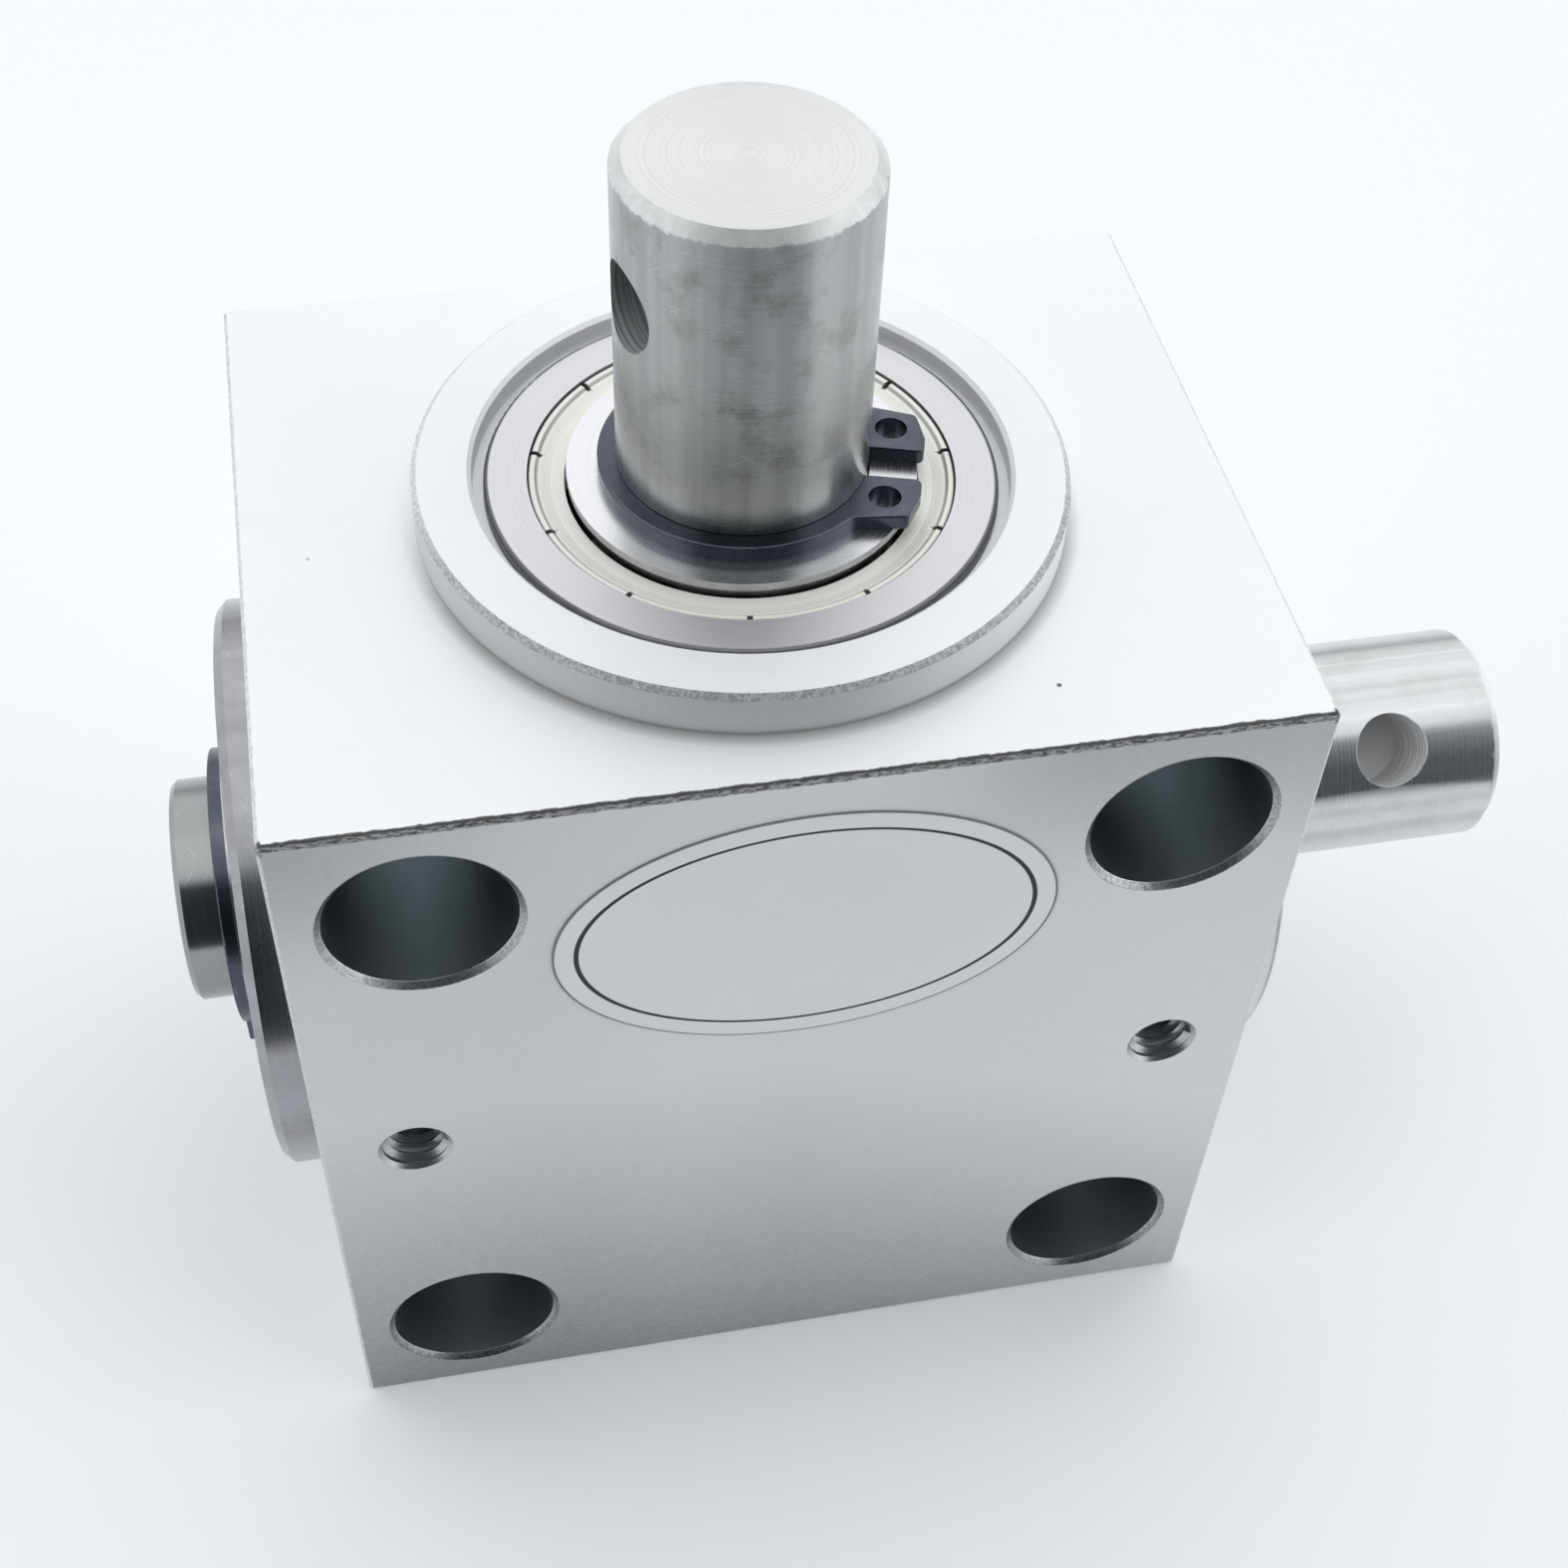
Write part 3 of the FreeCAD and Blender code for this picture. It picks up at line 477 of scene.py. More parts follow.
        light = graph.fade(flecks, 0.38, 0.62)
        cut = graph.blend(light, dimmed(self.cut_colour, 0.72), self.cut_colour)
        torn_and_shaded = graph.blend(light, dimmed(self.cut_colour, 0.16), dimmed(self.cut_colour, 0.5))
        # Along the front face's top edge: worn streaks with light dashes over a dark line of painted
        # reflection.
        front_edge = graph.all_of(graph.fade(ragged, -0.18, -0.08), graph.fade(y, FRONT + 0.7, FRONT + 0.4),
                                  graph.fade(z, top - 0.8, top - 0.5))
        along = graph.node("ShaderNodeVectorMath", {0: place, 1: (0.4, 2.0, 2.0)}, operation="MULTIPLY")
        lit = graph.all_of(graph.fade(graph.noise(along.outputs[0], 5.0, 4.0, 0.7), 0.42, 0.56),
                           graph.fade(z, top - 0.02, top - 0.14))
        worn_and_shaded_edge = graph.blend(lit, dimmed(self.cut_colour, 0.1), dimmed(self.cut_colour, 0.6))
        # Dark flecks: wear all round the holes' rims; on the bosses' rims kept to the front half as painted
        # shade.
        front_rim_shade = graph.times(graph.all_of(boss_rim, graph.fade(y, 2.0, -10.0)), 0.6)
        layers = ((graph.any_of(boss_rim, corner), cut),
                  (graph.any_of(front_rim_shade, graph.times(rim, 0.75)), torn_and_shaded), (front_edge, worn_and_shaded_edge),
                  (tapped, self.seat_colour), (seat, self.seat_colour), (bore, self.bore_colour),
                  (wear["Scratches"], self.cut_colour), (grain["Speck"], self.speck_colour))
        for share, above in layers:
            colour = graph.blend(share, colour, above)

        matt = graph.spread(grain["Grit"], self.roughness - 0.08, self.roughness + 0.1)
        smooth = graph.any_of(bore, seat, rim, tapped)
        graph.fill(shader, {"Base Color": colour, "Metallic": graph.spread(smooth, self.metallic, 1.0),
                            "Roughness": graph.between(smooth, matt, self.cut_roughness)})
        coarse = graph.times(graph.all_of(graph.any_of(rim, boss_rim, corner), flecks), 2.5)
        self.bump(graph, shader, graph.plus(grain["Grit"], coarse), 0.4, 0.02)

    def painted_front_shade(self, graph: Graph, place: Socket) -> Socket:
        """Return the share of painted shade on the front face, darker towards its foot, its upper corners and
        its left side.

        Args:
            graph: The material's tree.
            place: The surface's place in millimetres.

        Returns:
            The share of painted shade, from 0 to 1.
        """
        x, y, z = graph.parts(place)
        # Painted shade: darker towards the foot, the upper corners and the left side of the front face, a
        # little uneven.
        lifted = graph.plus(z, graph.math("MAXIMUM", graph.times(x, 0.4), 0.0))
        foot = graph.spread(graph.math("DIVIDE", lifted, self.foot_shade_height), 0.9, 0.0)
        left = graph.times(graph.fade(x, -6.0, -18.0), 0.1)
        outward = graph.spread(graph.any_of(graph.fade(x, 2.0, 17.0), graph.fade(x, -14.0, -30.0)), 0.0, 0.44)
        top = graph.all_of(graph.fade(z, 46.0, 60.0), outward)
        uneven = graph.spread(graph.noise(place, 2.4, 4.0, 0.7), 0.75, 1.25)
        total = graph.plus(foot, graph.plus(left, top))
        on_front = graph.fade(y, FRONT + 0.3, FRONT + 0.1)
        return graph.math("MINIMUM", graph.all_of(total, uneven, on_front), 1.0)


@dataclass(frozen=True)
class TurnedSteel(Finish):
    """Steel that was turned or ground about its own line: shafts, rings, shims, shields.

    Attributes:
        line: The line that the piece is turned about.
        drawn: How far a reflection is drawn out across the marks, from 0 to 1.
        scratch: Share of scratches.
        scratch_colour: The scratches' colour.
        stain: Share of blotches on the round.
        stain_colour: The blotches' colour.
        end_colour: Faces across the line.
        marks: Depth of the marks, in millimetres.
        hole_at: A blind cross hole's height along the line and its turn about it.
        hole_r: The hole's radius.
        hole_colour: The hole's wall.
        burr: The burred end's height along the line, or None.
        burr_r: The radii between which the burr starts.
        burr_colours: The burr's darkest and brightest colour.
        dull_below: The height along the line below which painted shade darkens the steel, or None.
        slits: A shield's slits: how many, the first one's turn in radians, and their inner radius.
        slit_shade_colour: The painted shade in the slits.
        fold_shade_colour: The painted shade lines at a shield's fold and in the gap at its edge.
        dark_from: The radius from which a ring's rounded edge is darkened by a painted dark reflection, or
            None.
    """

    line: Line = Line.UPRIGHT
    drawn: float = 0.6
    scratch: float = 0.3
    scratch_colour: Colour = (0.75, 0.75, 0.76)
    stain: float = 0.3
    stain_colour: Colour = (0.16, 0.15, 0.13)
    end_colour: Colour = (0.6, 0.6, 0.6)
    marks: float = 0.004
    hole_at: Pair | None = None
    hole_r: float = 2.6
    hole_colour: Colour = (0.62, 0.62, 0.62)
    burr: float | None = None
    burr_r: Pair = (6.6, 6.95)
    burr_colours: tuple[Colour, Colour] = ((0.62, 0.63, 0.63), (0.98, 0.98, 0.97))
    dull_below: float | None = None
    slits: tuple[int, float, float] | None = None
    slit_shade_colour: Colour = (0.05, 0.05, 0.05)
    fold_shade_colour: Colour = (0.12, 0.12, 0.11)
    dark_from: float | None = None

    def dress(self, graph: Graph, shader: bpy.types.Node) -> None:
        """Add ring marks on the ends, line marks on the round, streaks, scratches, blotches, and painted
        shade where set.

        Args:
            graph: The material's tree.
            shader: The shader.
        """
        place = self.place(graph, self.line)
        marks = self.effect(graph, "turning", Vector=place, Wander=0.05)
        radius = marks["Radius"]
        x, y, z = graph.parts(place)
        turn = graph.math("ARCTAN2", y, x)
        arc = graph.times(turn, radius)
        unrolled = graph.node("ShaderNodeCombineXYZ", {0: arc, 1: z, 2: radius}).outputs[0]
        wear = self.effect(graph, "wear", Vector=unrolled, Scratch=self.scratch, Stain=self.stain)
        normal = graph.parts(graph.node("ShaderNodeTexCoord").outputs["Normal"])
        along = normal[2] if self.line is Line.UPRIGHT else normal[0]
        end = graph.fade(graph.math("ABSOLUTE", along), 0.75, 0.9)
        mark = graph.between(end, marks["Lines"], marks["Rings"])

        dark = dimmed(self.colour, 0.8)
        colour = graph.blend(graph.fade(marks["Streaks"], 0.35, 0.6), dark, self.colour)
        colour = graph.blend(wear["Stains"], colour, self.stain_colour)
        # Painted shade: the steel past a height along the line is darker.
        if self.dull_below is not None:
            dull = graph.fade(z, self.dull_below, self.dull_below - 1.0)
            colour = graph.blend(dull, colour, dimmed(self.colour, 0.47))
        specks = self.effect(graph, "grain", Vector=unrolled, Scale=18.0)["Speck"]
        turned_end = graph.blend(graph.fade(mark, 0.3, 0.65), dimmed(self.end_colour, 0.9), self.end_colour)
        layers = ((graph.times(specks, 0.6), self.stain_colour), (end, turned_end),
                  (graph.spread(mark, 0.0, 0.12), dark), (wear["Scratches"], self.scratch_colour))
        for share, above in layers:
            colour = graph.blend(share, colour, above)
        # Painted dark reflection on a ring's rounded outer edge.
        if self.dark_from:
            rounded = graph.fade(radius, self.dark_from, self.dark_from + 0.05)
            colour = graph.blend(rounded, colour, dimmed(self.colour, 0.36))
        if self.slits:
            colour = self.slitted(graph, turn, radius, colour)
        rough = graph.spread(mark, self.roughness - 0.05, self.roughness + 0.1)
        rough = graph.plus(rough, graph.times(wear["Stains"], 0.1))
        height = graph.times(mark, graph.spread(end, 1.0, 0.45))
        if self.hole_at:
            colour, rough, metal = self.drilled(graph, place, colour, rough)
            graph.feed(shader.inputs["Metallic"], metal)
        if self.burr is not None:
            colour, rough, height = self.burred(graph, place, colour, rough, height)
        self.bump(graph, shader, height, 0.25, self.marks)
        axis = "Z" if self.line is Line.UPRIGHT else "X"
        tangent = graph.node("ShaderNodeTangent", direction_type="RADIAL", axis=axis).outputs[0]
        graph.fill(shader, {"Base Color": colour, "Roughness": rough, "Tangent": tangent,
                            "Anisotropic": self.drawn, "Anisotropic Rotation": 0.25})

    def slitted(self, graph: Graph, turn: Socket, radius: Socket, colour: Socket) -> Socket:
        """Return the colour with painted shade in a shield's slits and on lines at its fold and edge.

        Args:
            graph: The material's tree.
            turn: The surface's turn about the piece's own line, in radians.
            radius: Its distance from the line.
            colour: The colour so far.

        Returns:
            The new colour.
        """
        count, first, inner = self.slits
        beside = graph.math("ABSOLUTE", graph.math("SINE", graph.times(graph.minus(turn, first), count / 2)))
        gap = graph.times(beside, graph.times(radius, 2 / count))
        # Painted shade in the slits, in the gap at the shield's edge and along its fold.
        slit = graph.all_of(graph.fade(gap, 0.2, 0.13), graph.fade(radius, inner, inner + 0.2))
        edge = graph.fade(radius, inner + 0.66, inner + 0.72)
        fold = graph.all_of(graph.fade(radius, inner + 0.14, inner + 0.2),
                            graph.fade(radius, inner + 0.36, inner + 0.3))
        colour = graph.blend(graph.any_of(edge, graph.times(fold, 0.4)), colour, self.fold_shade_colour)
        return graph.blend(slit, colour, self.slit_shade_colour)

    def drilled(self, graph: Graph, place: Socket, colour: Socket,
                rough: Socket) -> tuple[Socket, Socket, Socket]:
        """Return the colour, roughness and metalness with a dull drilled wall in the blind cross hole.

        Args:
            graph: The material's tree.
            place: The surface's place about the piece's own line.
            colour: The colour so far.
            rough: The roughness so far.

        Returns:
            The new colour and roughness, and the metalness.
        """
        height, turn = self.hole_at
        sine, cosine = math.sin(turn), math.cos(turn)
        x, y, z = graph.parts(place)
        side = graph.plus(graph.times(x, -sine), graph.times(y, cosine))
        front = graph.plus(graph.times(x, cosine), graph.times(y, sine))
        away = graph.length(side, graph.minus(z, height))
        inside = graph.all_of(graph.fade(away, self.hole_r + 0.05, self.hole_r + 0.02),
                              graph.fade(front, 0.0, 1.0))
        cut = graph.fade(graph.wave(front, 5.0, 3.0), 0.35, 0.65)
        wall = graph.blend(cut, dimmed(self.hole_colour, 0.5), self.hole_colour)
        metal = graph.spread(inside, self.metallic, 0.1)
        return graph.blend(inside, colour, wall), graph.between(inside, rough, 0.5), metal

    def burred(self, graph: Graph, place: Socket, colour: Socket, rough: Socket,
               height: Socket) -> tuple[Socket, Socket, Socket]:
        """Return the colour, roughness and bumps with a bright filed rim at the shaft's end.

        Args:
            graph: The material's tree.
            place: The surface's place about the piece's own line.
            colour: The colour so far.
            rough: The roughness so far.
            height: The bumps so far.

        Returns:
            The new colour, roughness and bumps.
        """
        x, y, z = graph.parts(place)
        ragged = graph.noise(place, 1.4, 5.0, 0.65)
        reach = graph.plus(graph.times(graph.minus(ragged, 0.5), 0.9), z)
        rim = graph.all_of(graph.fade(reach, self.burr - 0.85, self.burr - 0.6),
                           graph.fade(graph.length(x, y), *self.burr_r))
        filed = graph.blend(ragged, *self.burr_colours)
        lumpy = graph.between(rim, height, graph.times(ragged, 12.0))
        return graph.blend(rim, colour, filed), graph.between(rim, rough, 0.62), lumpy


@dataclass(frozen=True)
class BlackenedSteel(Finish):
    """Snap rings: phosphated spring steel with rubbed high spots.

    Attributes:
        rubbed: The colour of the high spots.
    """

    rubbed: Colour = (0.22, 0.23, 0.26)

    def dress(self, graph: Graph, shader: bpy.types.Node) -> None:
        """Add a fine grain and rubbed patches.

        Args:
            graph: The material's tree.
            shader: The shader.
        """
        place = self.place(graph)
        grain = self.effect(graph, "grain", Vector=place, Scale=9.0)
        wear = self.effect(graph, "wear", Vector=place, Scratch=0.6, Stain=0.6)
        colour = graph.blend(grain["Cloud"], self.colour, dimmed(self.colour, 1.8))
        worn = graph.any_of(wear["Scratches"], graph.times(wear["Stains"], 0.5))
        rough = graph.spread(grain["Grit"], self.roughness - 0.1, self.roughness + 0.12)
        graph.fill(shader, {"Base Color": graph.blend(worn, colour, self.rubbed), "Roughness": rough})
        self.bump(graph, shader, grain["Grit"], 0.25, 0.01)


@dataclass(frozen=True)
class LabelFilm(Finish):
    """The oval label: satin silver film with a plain printed oval line and a painted shade line at its edge,
    bare inside.

    Attributes:
        centre: The label's centre on the front face, in millimetres.
        half: Half its length and height.
        inset: The inner line's distance from the edge.
        line_width: The inner line's width.
        edge_shade_line: Where the painted shade line at the film's edge starts, as shares of the way to the
            edge.
        ink_and_edge_shade: The colour of the printed line and of the painted shade at the edge.
    """

    centre: Pair = (0.0, 47.1)
    half: Pair = (15.0, 10.0)
    inset: float = 1.4
    line_width: float = 0.22
    edge_shade_line: Pair = (0.988, 0.992)
    ink_and_edge_shade: Colour = (0.03, 0.03, 0.035)

    def dress(self, graph: Graph, shader: bpy.types.Node) -> None:
        """Add the printed oval line, a painted shade line at the film's edge and a faint rolled grain.

        Args:
            graph: The material's tree.
            shader: The shader.
        """
        place = self.place(graph)
        grain = self.effect(graph, "grain", Vector=place, Scale=5.0)
        x, _, z = graph.parts(place)

        def oval(inset: float) -> Socket:
            """Return how far out a place is, where 1 is on an oval inside the edge."""
            shares = [graph.math("DIVIDE", graph.minus(spot, middle), half - inset)
                      for spot, middle, half in zip((x, z), self.centre, self.half)]
            return graph.length(*shares)

        away = graph.math("ABSOLUTE", graph.minus(oval(self.inset), 1.0))
        width = self.line_width / (2 * self.half[1])
        # The printed oval line, and a painted shade line at the film's edge.
        ink_and_edge_shade = graph.any_of(graph.fade(away, width * 1.2, width * 0.8),
                           graph.times(graph.fade(oval(0.0), *self.edge_shade_line), 0.75))
        colour = graph.blend(grain["Cloud"], dimmed(self.colour, 0.93), self.colour)
        rough = graph.spread(grain["Grit"], self.roughness - 0.05, self.roughness + 0.08)
        graph.fill(shader, {"Base Color": graph.blend(ink_and_edge_shade, colour, self.ink_and_edge_shade), "Roughness": rough})
        self.bump(graph, shader, grain["Grit"], 0.15, 0.01)


ALUMINIUM = BlastedAluminium("blasted_aluminium", (0.9, 0.905, 0.91), 0.55, 0.45)
BLACKENED = BlackenedSteel("blackened_steel", (0.06, 0.067, 0.084), 0.28)
FILM = LabelFilm("label_film", (0.86, 0.86, 0.85), 0.4, 0.6)


def turned(kind: str, colour: Colour, roughness: float, line: Line, **more: object) -> TurnedSteel:
    """Return a turned finish named for its kind and line."""
    return TurnedSteel(f"{kind}_{line.value}", colour, roughness, line=line, **more)


def paint(node: str, finish: Finish) -> None:
    """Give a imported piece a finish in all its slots.

    Args:
        node: The piece's name.
        finish: Its finish.
    """
    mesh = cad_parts[node].data
    mesh.materials.clear()
    mesh.materials.append(finish.material())
    log.info("%s: %s", node, finish.name)


def deselect() -> None:
    """Deselect every object."""
    bpy.ops.object.select_all(action="DESELECT")


def settle(name: str, finish: Finish, body: str) -> None:
    """Finish the active new piece: apply its place, dress it and let it ride.

    Args:
        name: The piece's name.
        finish: Its finish.
        body: The body that it rides on.
    """
    piece = bpy.context.active_object
    piece.name = name
    bpy.ops.object.transform_apply(location=True, rotation=True, scale=True)
    bpy.ops.object.mode_set(mode="EDIT")
    bpy.ops.mesh.select_all(action="SELECT")
    bpy.ops.mesh.remove_doubles(threshold=WELD)
    bpy.ops.mesh.normals_make_consistent(inside=False)
    bpy.ops.object.mode_set(mode="OBJECT")
    bpy.ops.object.shade_smooth_by_angle(angle=SMOOTH_ANGLE)
    piece.data.materials.clear()
    piece.data.materials.append(finish.material())
    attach(piece, body)
    log.info("%s: new piece, %d faces", name, len(piece.data.polygons))


@dataclass
class Label:
    """The oval label on the front face.

    Attributes:
        thickness: The film's thickness, in millimetres.
        rim: The width of its softened edge.
        steps: Points round the oval.
        finish: The film.
    """

    thickness: float = 0.08
    rim: float = 0.05
    steps: int = 128
    finish: LabelFilm = FILM

    def build(self) -> None:
        """Add an oval disc, raise it off the face and soften its edge."""
        deselect()
        x, z = self.finish.centre
        bpy.ops.mesh.primitive_circle_add(vertices=self.steps, radius=MM, fill_type="NGON",
                                          location=(x * MM, FRONT * MM, z * MM), rotation=(math.pi / 2, 0, 0))
        disc = bpy.context.active_object
        disc.scale = (self.finish.half[0], self.finish.half[1], 1.0)
        bpy.ops.object.transform_apply(location=True, rotation=True, scale=True)
        bpy.ops.object.mode_set(mode="EDIT")
        bpy.ops.mesh.select_all(action="SELECT")
        bpy.ops.mesh.extrude_region_move(TRANSFORM_OT_translate={"value": (0, -self.thickness * MM, 0)})
        bpy.ops.mesh.inset(thickness=self.rim * MM, depth=0.0)
        bpy.ops.object.mode_set(mode="OBJECT")
        settle("oval_label", self.finish, "housing")


@dataclass
class FaceThreads:
    """The threads in the two small holes on the front face.

    Attributes:
        apart: The holes' distance, in millimetres.
        height: Their height.
        wall_r: The hole's wall, which the ridge is sunk into.
        crest_r: The thread's crest.
        pitch: One turn's advance.
        turns: Turns in the hole.
        start: How far behind the front face it starts.
        width: The ridge's width, as a share of the pitch.
        steps: Steps in one turn.
    """

    apart: float = 48.4
    height: float = 30.0
    wall_r: float = 2.08
    crest_r: float = 1.68
    pitch: float = 0.7
    turns: int = 7
    start: float = 0.55
    width: float = 0.9
    steps: int = 40

    def build(self) -> None:
        """Wind a three-sided ridge into each hole."""
        for side, name in ((-1, "left_face_thread"), (1, "right_face_thread")):
            deselect()
            bpy.ops.mesh.primitive_circle_add(vertices=3, radius=MM, fill_type="NOTHING",
                                              rotation=(math.pi / 2, 0, 0))
            ridge = bpy.context.active_object
            bpy.ops.object.transform_apply(location=False, rotation=True, scale=False)
            bpy.ops.object.mode_set(mode="EDIT")
            bpy.ops.mesh.select_all(action="SELECT")
            bpy.ops.transform.rotate(value=math.pi / 2, orient_axis="Y", center_override=(0, 0, 0))
            bpy.ops.object.mode_set(mode="OBJECT")
            depth = self.wall_r - self.crest_r
            tall = self.width * self.pitch
            reach = [vertex.co.x for vertex in ridge.data.vertices]
            rise = [vertex.co.z for vertex in ridge.data.vertices]
            tip = 1 if abs(max(reach)) > abs(min(reach)) else -1
            for vertex in ridge.data.vertices:
                share = (vertex.co.x * tip - min(value * tip for value in reach)) / (max(reach) - min(reach))
                vertex.co.x = (self.wall_r - depth * share) * MM
                vertex.co.z = vertex.co.z / (max(rise) - min(rise)) * tall * MM
            screw = ridge.modifiers.new("winding", "SCREW")
            screw.axis = "Z"
            screw.angle = 2 * math.pi
            screw.screw_offset = self.pitch * MM
            screw.iterations = self.turns
            screw.steps = screw.render_steps = self.steps
            screw.use_merge_vertices = False
            bpy.ops.object.modifier_apply(modifier="winding")
            bpy.ops.object.mode_set(mode="EDIT")
            bpy.ops.mesh.select_all(action="DESELECT")
            bpy.ops.mesh.select_non_manifold()
            bpy.ops.mesh.fill()
            bpy.ops.object.mode_set(mode="OBJECT")
            ridge.rotation_euler = (-math.pi / 2, 0, 0)
            ridge.location = (side * self.apart / 2 * MM, (FRONT + self.start) * MM, self.height * MM)
            settle(name, ALUMINIUM, "housing")


@dataclass
class Housing:
    """The block."""

    finish: BlastedAluminium = ALUMINIUM

    def build(self) -> None:
        """Dress the block."""
        paint("housing", self.finish)


@dataclass
class ShaftSet:
    """A shaft with the pieces that turn with it.

    Attributes:
        shaft: The shaft's node.
        line: Its line.
        hole: The blind hole's height along the line and its turn about it.
        others: Gear, key and spacer.
        rings: The bearings' inner rings.
        shims: The shims.
        clips: The snap rings.
        end: The long end's place along the line, in millimetres.
        colour: The shaft's round.
        hole_colour: The wall of its blind hole.
        marks: The depth of its turning marks, in millimetres.
        stain: Share of blotches on it.
        dull_below: Where the painted shade on its darker end starts, or None.
    """

    shaft: str
    line: Line
    hole: Pair
    others: tuple[str, ...]
    rings: tuple[str, ...]
    shims: tuple[str, ...]
    clips: tuple[str, ...]
    end: float
    colour: Colour
    hole_colour: Colour
    marks: float
    stain: float
    dull_below: float | None = None

    def build(self) -> None:
        """Dress every piece of the set."""
        bar = turned("shaft_steel", self.colour, 0.22, self.line, drawn=0.85, hole_at=self.hole,
                     stain=self.stain, marks=self.marks, hole_colour=self.hole_colour, burr=self.end,
                     end_colour=(0.72, 0.72, 0.715), dull_below=self.dull_below)
        gear = turned("gear_steel", (0.42, 0.42, 0.43), 0.35, self.line)
        ring = turned("ring_steel", (0.54, 0.54, 0.55), 0.22, self.line, drawn=0.2, stain=0.1,
                      end_colour=(0.55, 0.55, 0.56))
        shim = turned("shim_steel", (0.5, 0.5, 0.51), 0.24, self.line, drawn=0.2, stain=0.2,
                      end_colour=(0.8, 0.8, 0.815))
        dressed = (((self.shaft,), bar), (self.others, gear), (self.rings, ring), (self.shims, shim),
                   (self.clips, BLACKENED))
        for nodes, finish in dressed:
            for node in nodes:
                paint(node, finish)


@dataclass
class Bearing:
    """A ball bearing's fixed and rolling pieces.

    Attributes:
        name: The bearing's name.
        line: The line that it turns about.
        shielded: Whether it has a shield.
        flanged: Whether its outer ring has a polished flange.
        first_slit: The turn of the first slit round its shield, in radians.
    """

    name: str
    line: Line
    shielded: bool = True
    flanged: bool = False
    first_slit: float = 0.0

    def build(self) -> None:
        """Dress the outer ring, balls, cage and shield."""
        race = turned("race_steel", (0.5, 0.5, 0.52), 0.42, self.line, metallic=0.85, drawn=0.0, stain=0.15,
                      end_colour=(0.72, 0.715, 0.73), dark_from=15.08)
        flange = turned("flange_steel", (0.39, 0.39, 0.41), 0.22, self.line, drawn=0.3, stain=0.2,
                        end_colour=(0.5, 0.5, 0.52))
        balls = turned("ball_steel", (0.78, 0.78, 0.8), 0.12, self.line, stain=0.0, scratch=0.1)
        shield = turned("shield_steel", (0.92, 0.915, 0.85), 0.5, self.line, metallic=0.3, drawn=0.0,
                        stain=0.1, end_colour=(0.94, 0.935, 0.87), slits=(11, self.first_slit, 12.0))
        paint(f"{self.name}_outer_ring", flange if self.flanged else race)
        paint(f"{self.name}_balls", balls)
        paint(f"{self.name}_cage", turned("cage_steel", (0.6, 0.58, 0.52), 0.3, self.line))
        if self.shielded:
            paint(f"{self.name}_shield", shield)


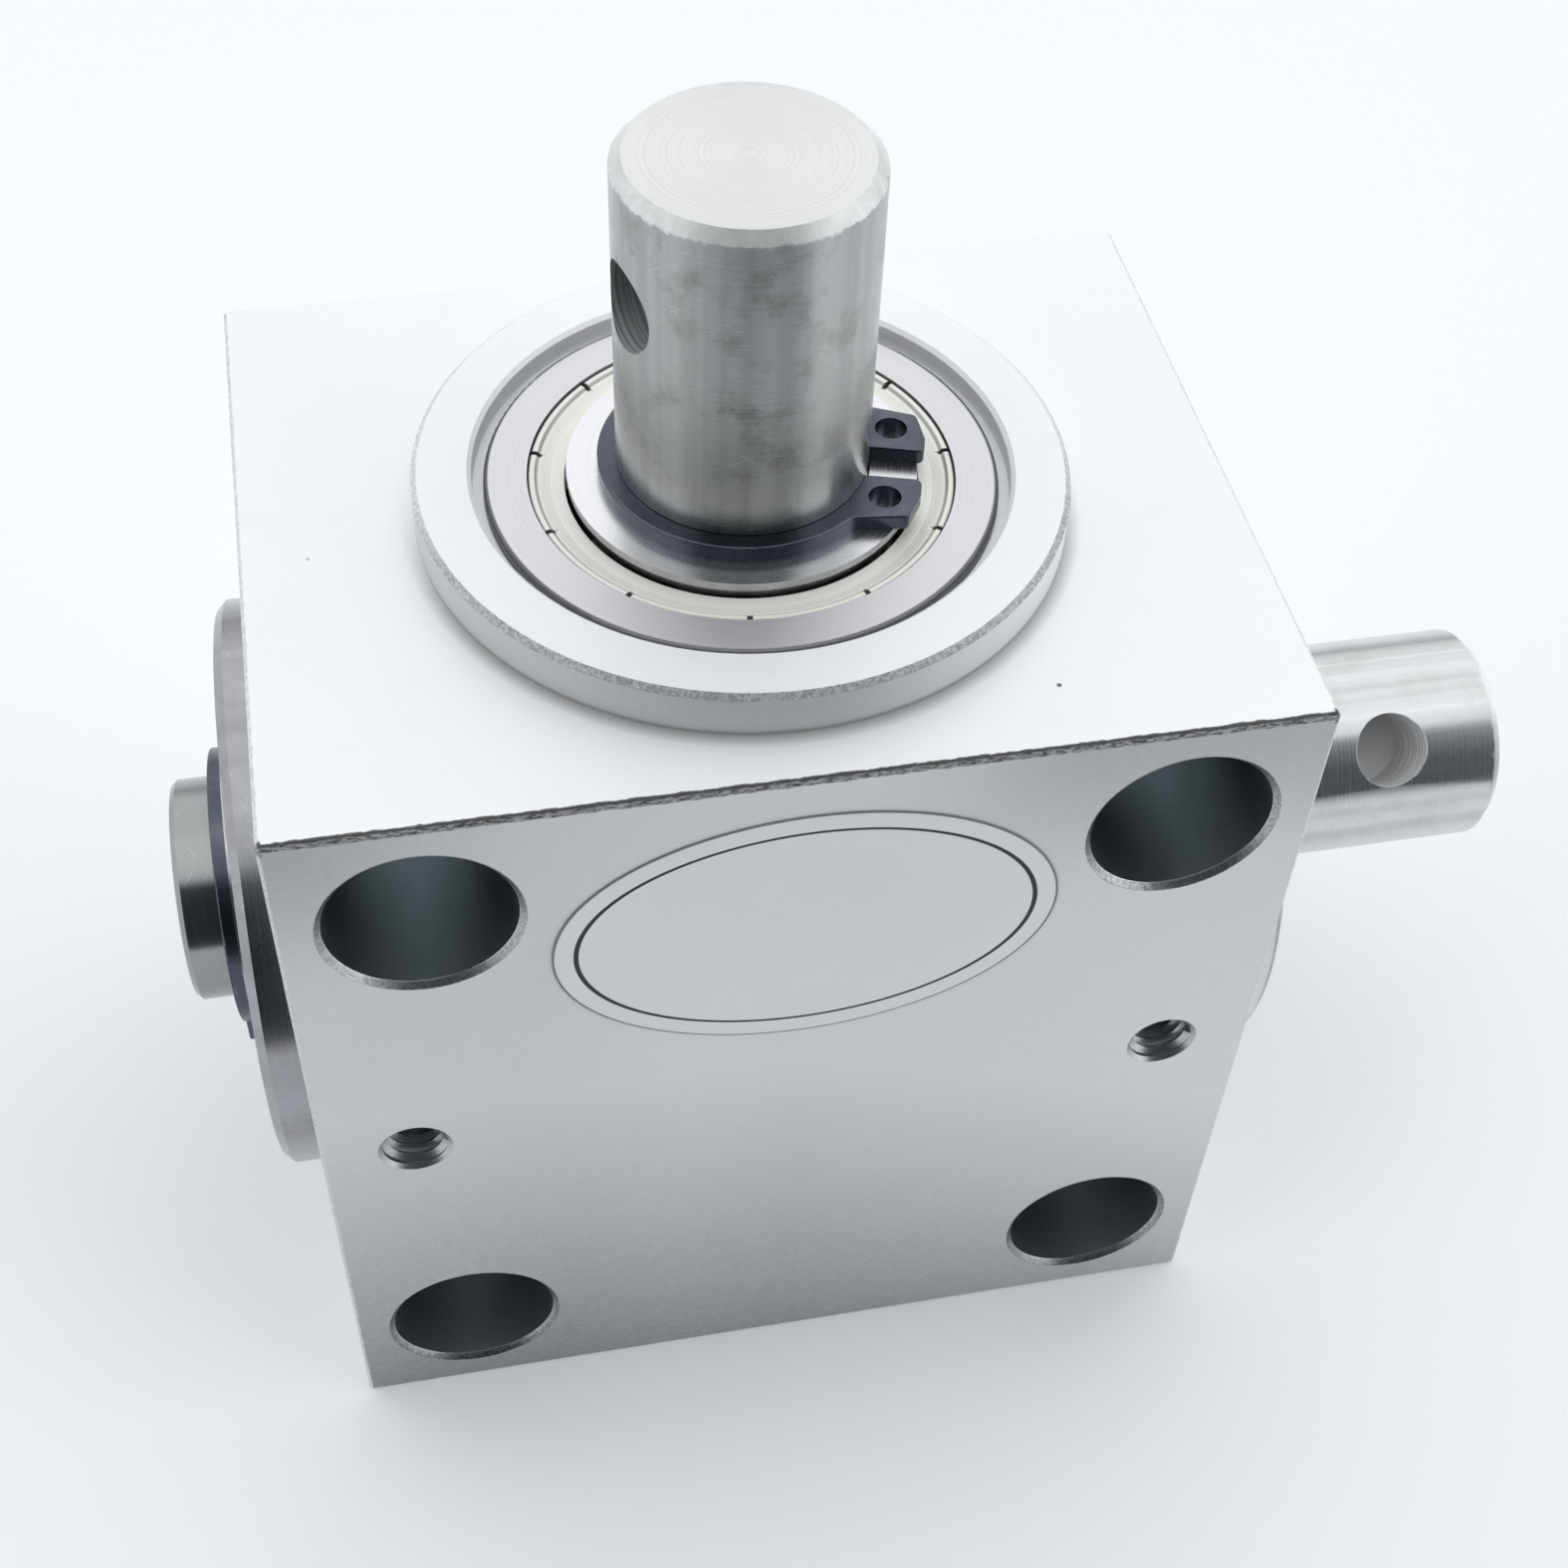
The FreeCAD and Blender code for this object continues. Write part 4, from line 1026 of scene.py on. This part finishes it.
@dataclass
class Studio:
    """Floor, light and camera.

    Attributes:
        floor_side: The floor's side, in metres.
        floor_front: Where it ends for all but the camera, in front of the block.
        floor_soft: Half the length over which that end fades.
        floor_colour: Its colour.
        backdrop: The colour behind everything.
        behind: The soft light's level at the back.
        viewer: Its level on the viewer's side.
        left: Its level on the left.
        right: Its level on the right.
        overhead: Its level straight above.
        horizon: Its level low down at the back.
        tint: Its colour.
        viewer_tint: Its colour on the viewer's side.
        facing: The cosine and sine of the viewer's turn from the front.
        left_edge: The turns from the viewer, in radians, between which the left side ends.
        right_edge: The turns between which the right side starts.
        back_edge: The turns to either side between which the back starts.
        low_edge: The turns to either side between which the low back starts.
        high_from: The heights between which the light above starts, where 1 is straight up.
        viewer_to: The heights between which the viewer's side ends.
        low_to: The heights between which the low back ends.
        lens: The camera's lens, in millimetres on a 36 mm frame.
        eye: The camera's place.
        tilt: Its turn, in degrees.
        centre: The picture's optical centre, in the photograph's pixels.
    """

    floor_side: float = 8.0
    floor_front: float = -0.125
    floor_soft: float = 0.005
    floor_colour: Colour = (0.92, 0.93, 0.955)
    backdrop: Colour = (0.91, 0.93, 0.965)
    behind: float = 1.25
    viewer: float = 0.045
    left: float = 1.18
    right: float = 1.37
    overhead: float = 1.4
    horizon: float = 0.7
    tint: Colour = (0.97, 0.985, 1.0)
    viewer_tint: Colour = (0.8, 0.97, 1.1)
    facing: Pair = (0.981, 0.195)
    left_edge: Pair = (-0.78, -0.70)
    right_edge: Pair = (0.85, 1.05)
    back_edge: Pair = (2.0, 2.5)
    low_edge: Pair = (1.9, 2.3)
    high_from: Pair = (0.92, 0.965)
    viewer_to: Pair = (0.76, 0.88)
    low_to: Pair = (0.12, 0.42)
    lens: float = 53.347
    eye: tuple[float, float, float] = (-0.020694, -0.104198, 0.153570)
    tilt: tuple[float, float, float] = (41.4566, -1.7957, -10.9684)
    centre: Pair = (785.0, 793.48)

    def build(self) -> None:
        """Set the floor, the light and the camera."""
        self.lay_floor()
        self.light()
        self.aim()
        bpy.context.scene.view_settings.view_transform = "Standard"

    def lay_floor(self) -> None:
        """Lay a pale matt floor under the block, with the viewer's dark side reflected beyond its front."""
        deselect()
        bpy.ops.mesh.primitive_plane_add(size=self.floor_side, location=(0, 0, 0))
        floor = bpy.context.active_object
        floor.name = "floor"
        material = bpy.data.materials.new("pale_floor")
        material.use_nodes = True
        material.node_tree.nodes.clear()
        graph = Graph(material.node_tree)
        shader = graph.node("ShaderNodeBsdfPrincipled", {"Base Color": self.floor_colour, "Roughness": 0.7,
                                                         "Specular IOR Level": 0.2})
        y = graph.parts(graph.node("ShaderNodeTexCoord").outputs["Object"])[1]
        unseen = graph.minus(1.0, graph.node("ShaderNodeLightPath").outputs["Is Camera Ray"])
        past_front = graph.fade(y, self.floor_front + self.floor_soft, self.floor_front - self.floor_soft)
        dark_end = graph.all_of(unseen, past_front)
        clear = graph.node("ShaderNodeBsdfTransparent")
        mixer = graph.node("ShaderNodeMixShader", {0: dark_end, 1: shader.outputs[0], 2: clear.outputs[0]})
        graph.node("ShaderNodeOutputMaterial", {"Surface": mixer.outputs[0]})
        floor.data.materials.append(material)

    def light(self) -> None:
        """Light the object from a soft tent: bright above and behind, dim on the viewer's side."""
        world = bpy.data.worlds.new("studio")
        bpy.context.scene.world = world
        world.use_nodes = True
        world.node_tree.nodes.clear()
        graph = Graph(world.node_tree)
        x, y, z = graph.parts(graph.node("ShaderNodeTexCoord").outputs["Generated"])
        cosine, sine = self.facing
        side = graph.minus(graph.times(x, cosine), graph.times(y, sine))
        near = graph.plus(graph.times(x, -sine), graph.times(y, -cosine))
        turn = graph.math("ARCTAN2", side, near)
        either = graph.math("ABSOLUTE", turn)
        high = graph.fade(z, *self.high_from)
        beside = graph.all_of(graph.fade(either, *self.back_edge[::-1]), graph.minus(1.0, high))
        viewer = graph.all_of(graph.fade(turn, *self.left_edge), graph.fade(turn, *self.right_edge[::-1]),
                              graph.fade(z, *self.viewer_to[::-1]))
        left = graph.all_of(graph.fade(turn, *self.left_edge[::-1]), beside)
        right = graph.all_of(graph.fade(turn, *self.right_edge), beside)
        low = graph.all_of(graph.fade(either, *self.low_edge), graph.fade(z, *self.low_to[::-1]))
        zones = ((high, self.overhead), (viewer, self.viewer), (left, self.left), (right, self.right),
                 (low, self.horizon))
        level = self.behind
        for mask, value in zones:
            level = graph.plus(graph.times(mask, value - self.behind), level)
        tint = graph.blend(viewer, self.tint, self.viewer_tint)
        tent = graph.node("ShaderNodeBackground", {"Color": tint, "Strength": level})
        plain = graph.node("ShaderNodeBackground", {"Color": self.backdrop, "Strength": 1.0})
        seen = graph.node("ShaderNodeLightPath").outputs["Is Camera Ray"]
        mixer = graph.node("ShaderNodeMixShader", {0: seen, 1: tent.outputs[0], 2: plain.outputs[0]})
        graph.node("ShaderNodeOutputWorld", {"Surface": mixer.outputs[0]})

    def aim(self) -> None:
        """Set the camera at the photograph's place, angle and lens."""
        data = bpy.data.cameras.new("photo_view")
        data.sensor_width = 36.0
        data.lens = self.lens
        data.shift_x = (PHOTO_SIDE / 2 - self.centre[0]) / PHOTO_SIDE
        data.shift_y = (self.centre[1] - PHOTO_SIDE / 2) / PHOTO_SIDE
        data.clip_start = 0.005
        camera = bpy.data.objects.new("photo_view", data)
        camera.location = self.eye
        camera.rotation_euler = tuple(math.radians(value) for value in self.tilt)
        bpy.context.scene.collection.objects.link(camera)
        bpy.context.scene.camera = camera


def main() -> None:
    """Build every sub-assembly in order."""
    logging.basicConfig(level=logging.INFO, format="%(name)s: %(message)s")
    Studio().build()
    Housing().build()
    ShaftSet("vertical_shaft", Line.UPRIGHT, hole=(76.3, math.radians(195)),
             others=("vertical_gear", "vertical_gear_key"),
             rings=("top_bearing_inner_ring", "lower_bearing_inner_ring"), shims=("top_shim",),
             clips=("top_circlip",), end=84.0, colour=(0.44, 0.45, 0.445), hole_colour=(0.42, 0.43, 0.44),
             marks=0.003, stain=0.45).build()
    ShaftSet("cross_shaft", Line.ACROSS, hole=(45.7, math.radians(227)),
             others=("cross_gear", "cross_gear_key", "cross_spacer"),
             rings=("left_bearing_inner_ring", "right_bearing_inner_ring"), shims=("left_shim", "right_shim"),
             clips=("left_circlip", "right_circlip", "right_inner_circlip"), end=54.0,
             # The cross hole's pale matt wall is a painted reflection, standing in for the bright light seen
             # inside the hole.
             colour=(0.68, 0.69, 0.69), hole_colour=(0.95, 0.95, 0.95), marks=0.0012, stain=0.12,
             dull_below=-20.0).build()
    Bearing("top_bearing", Line.UPRIGHT).build()
    Bearing("lower_bearing", Line.UPRIGHT, shielded=False).build()
    Bearing("left_bearing", Line.ACROSS, flanged=True, first_slit=math.pi).build()
    Bearing("right_bearing", Line.ACROSS).build()
    Label().build()
    FaceThreads().build()


if __name__ == "__main__":
    main()
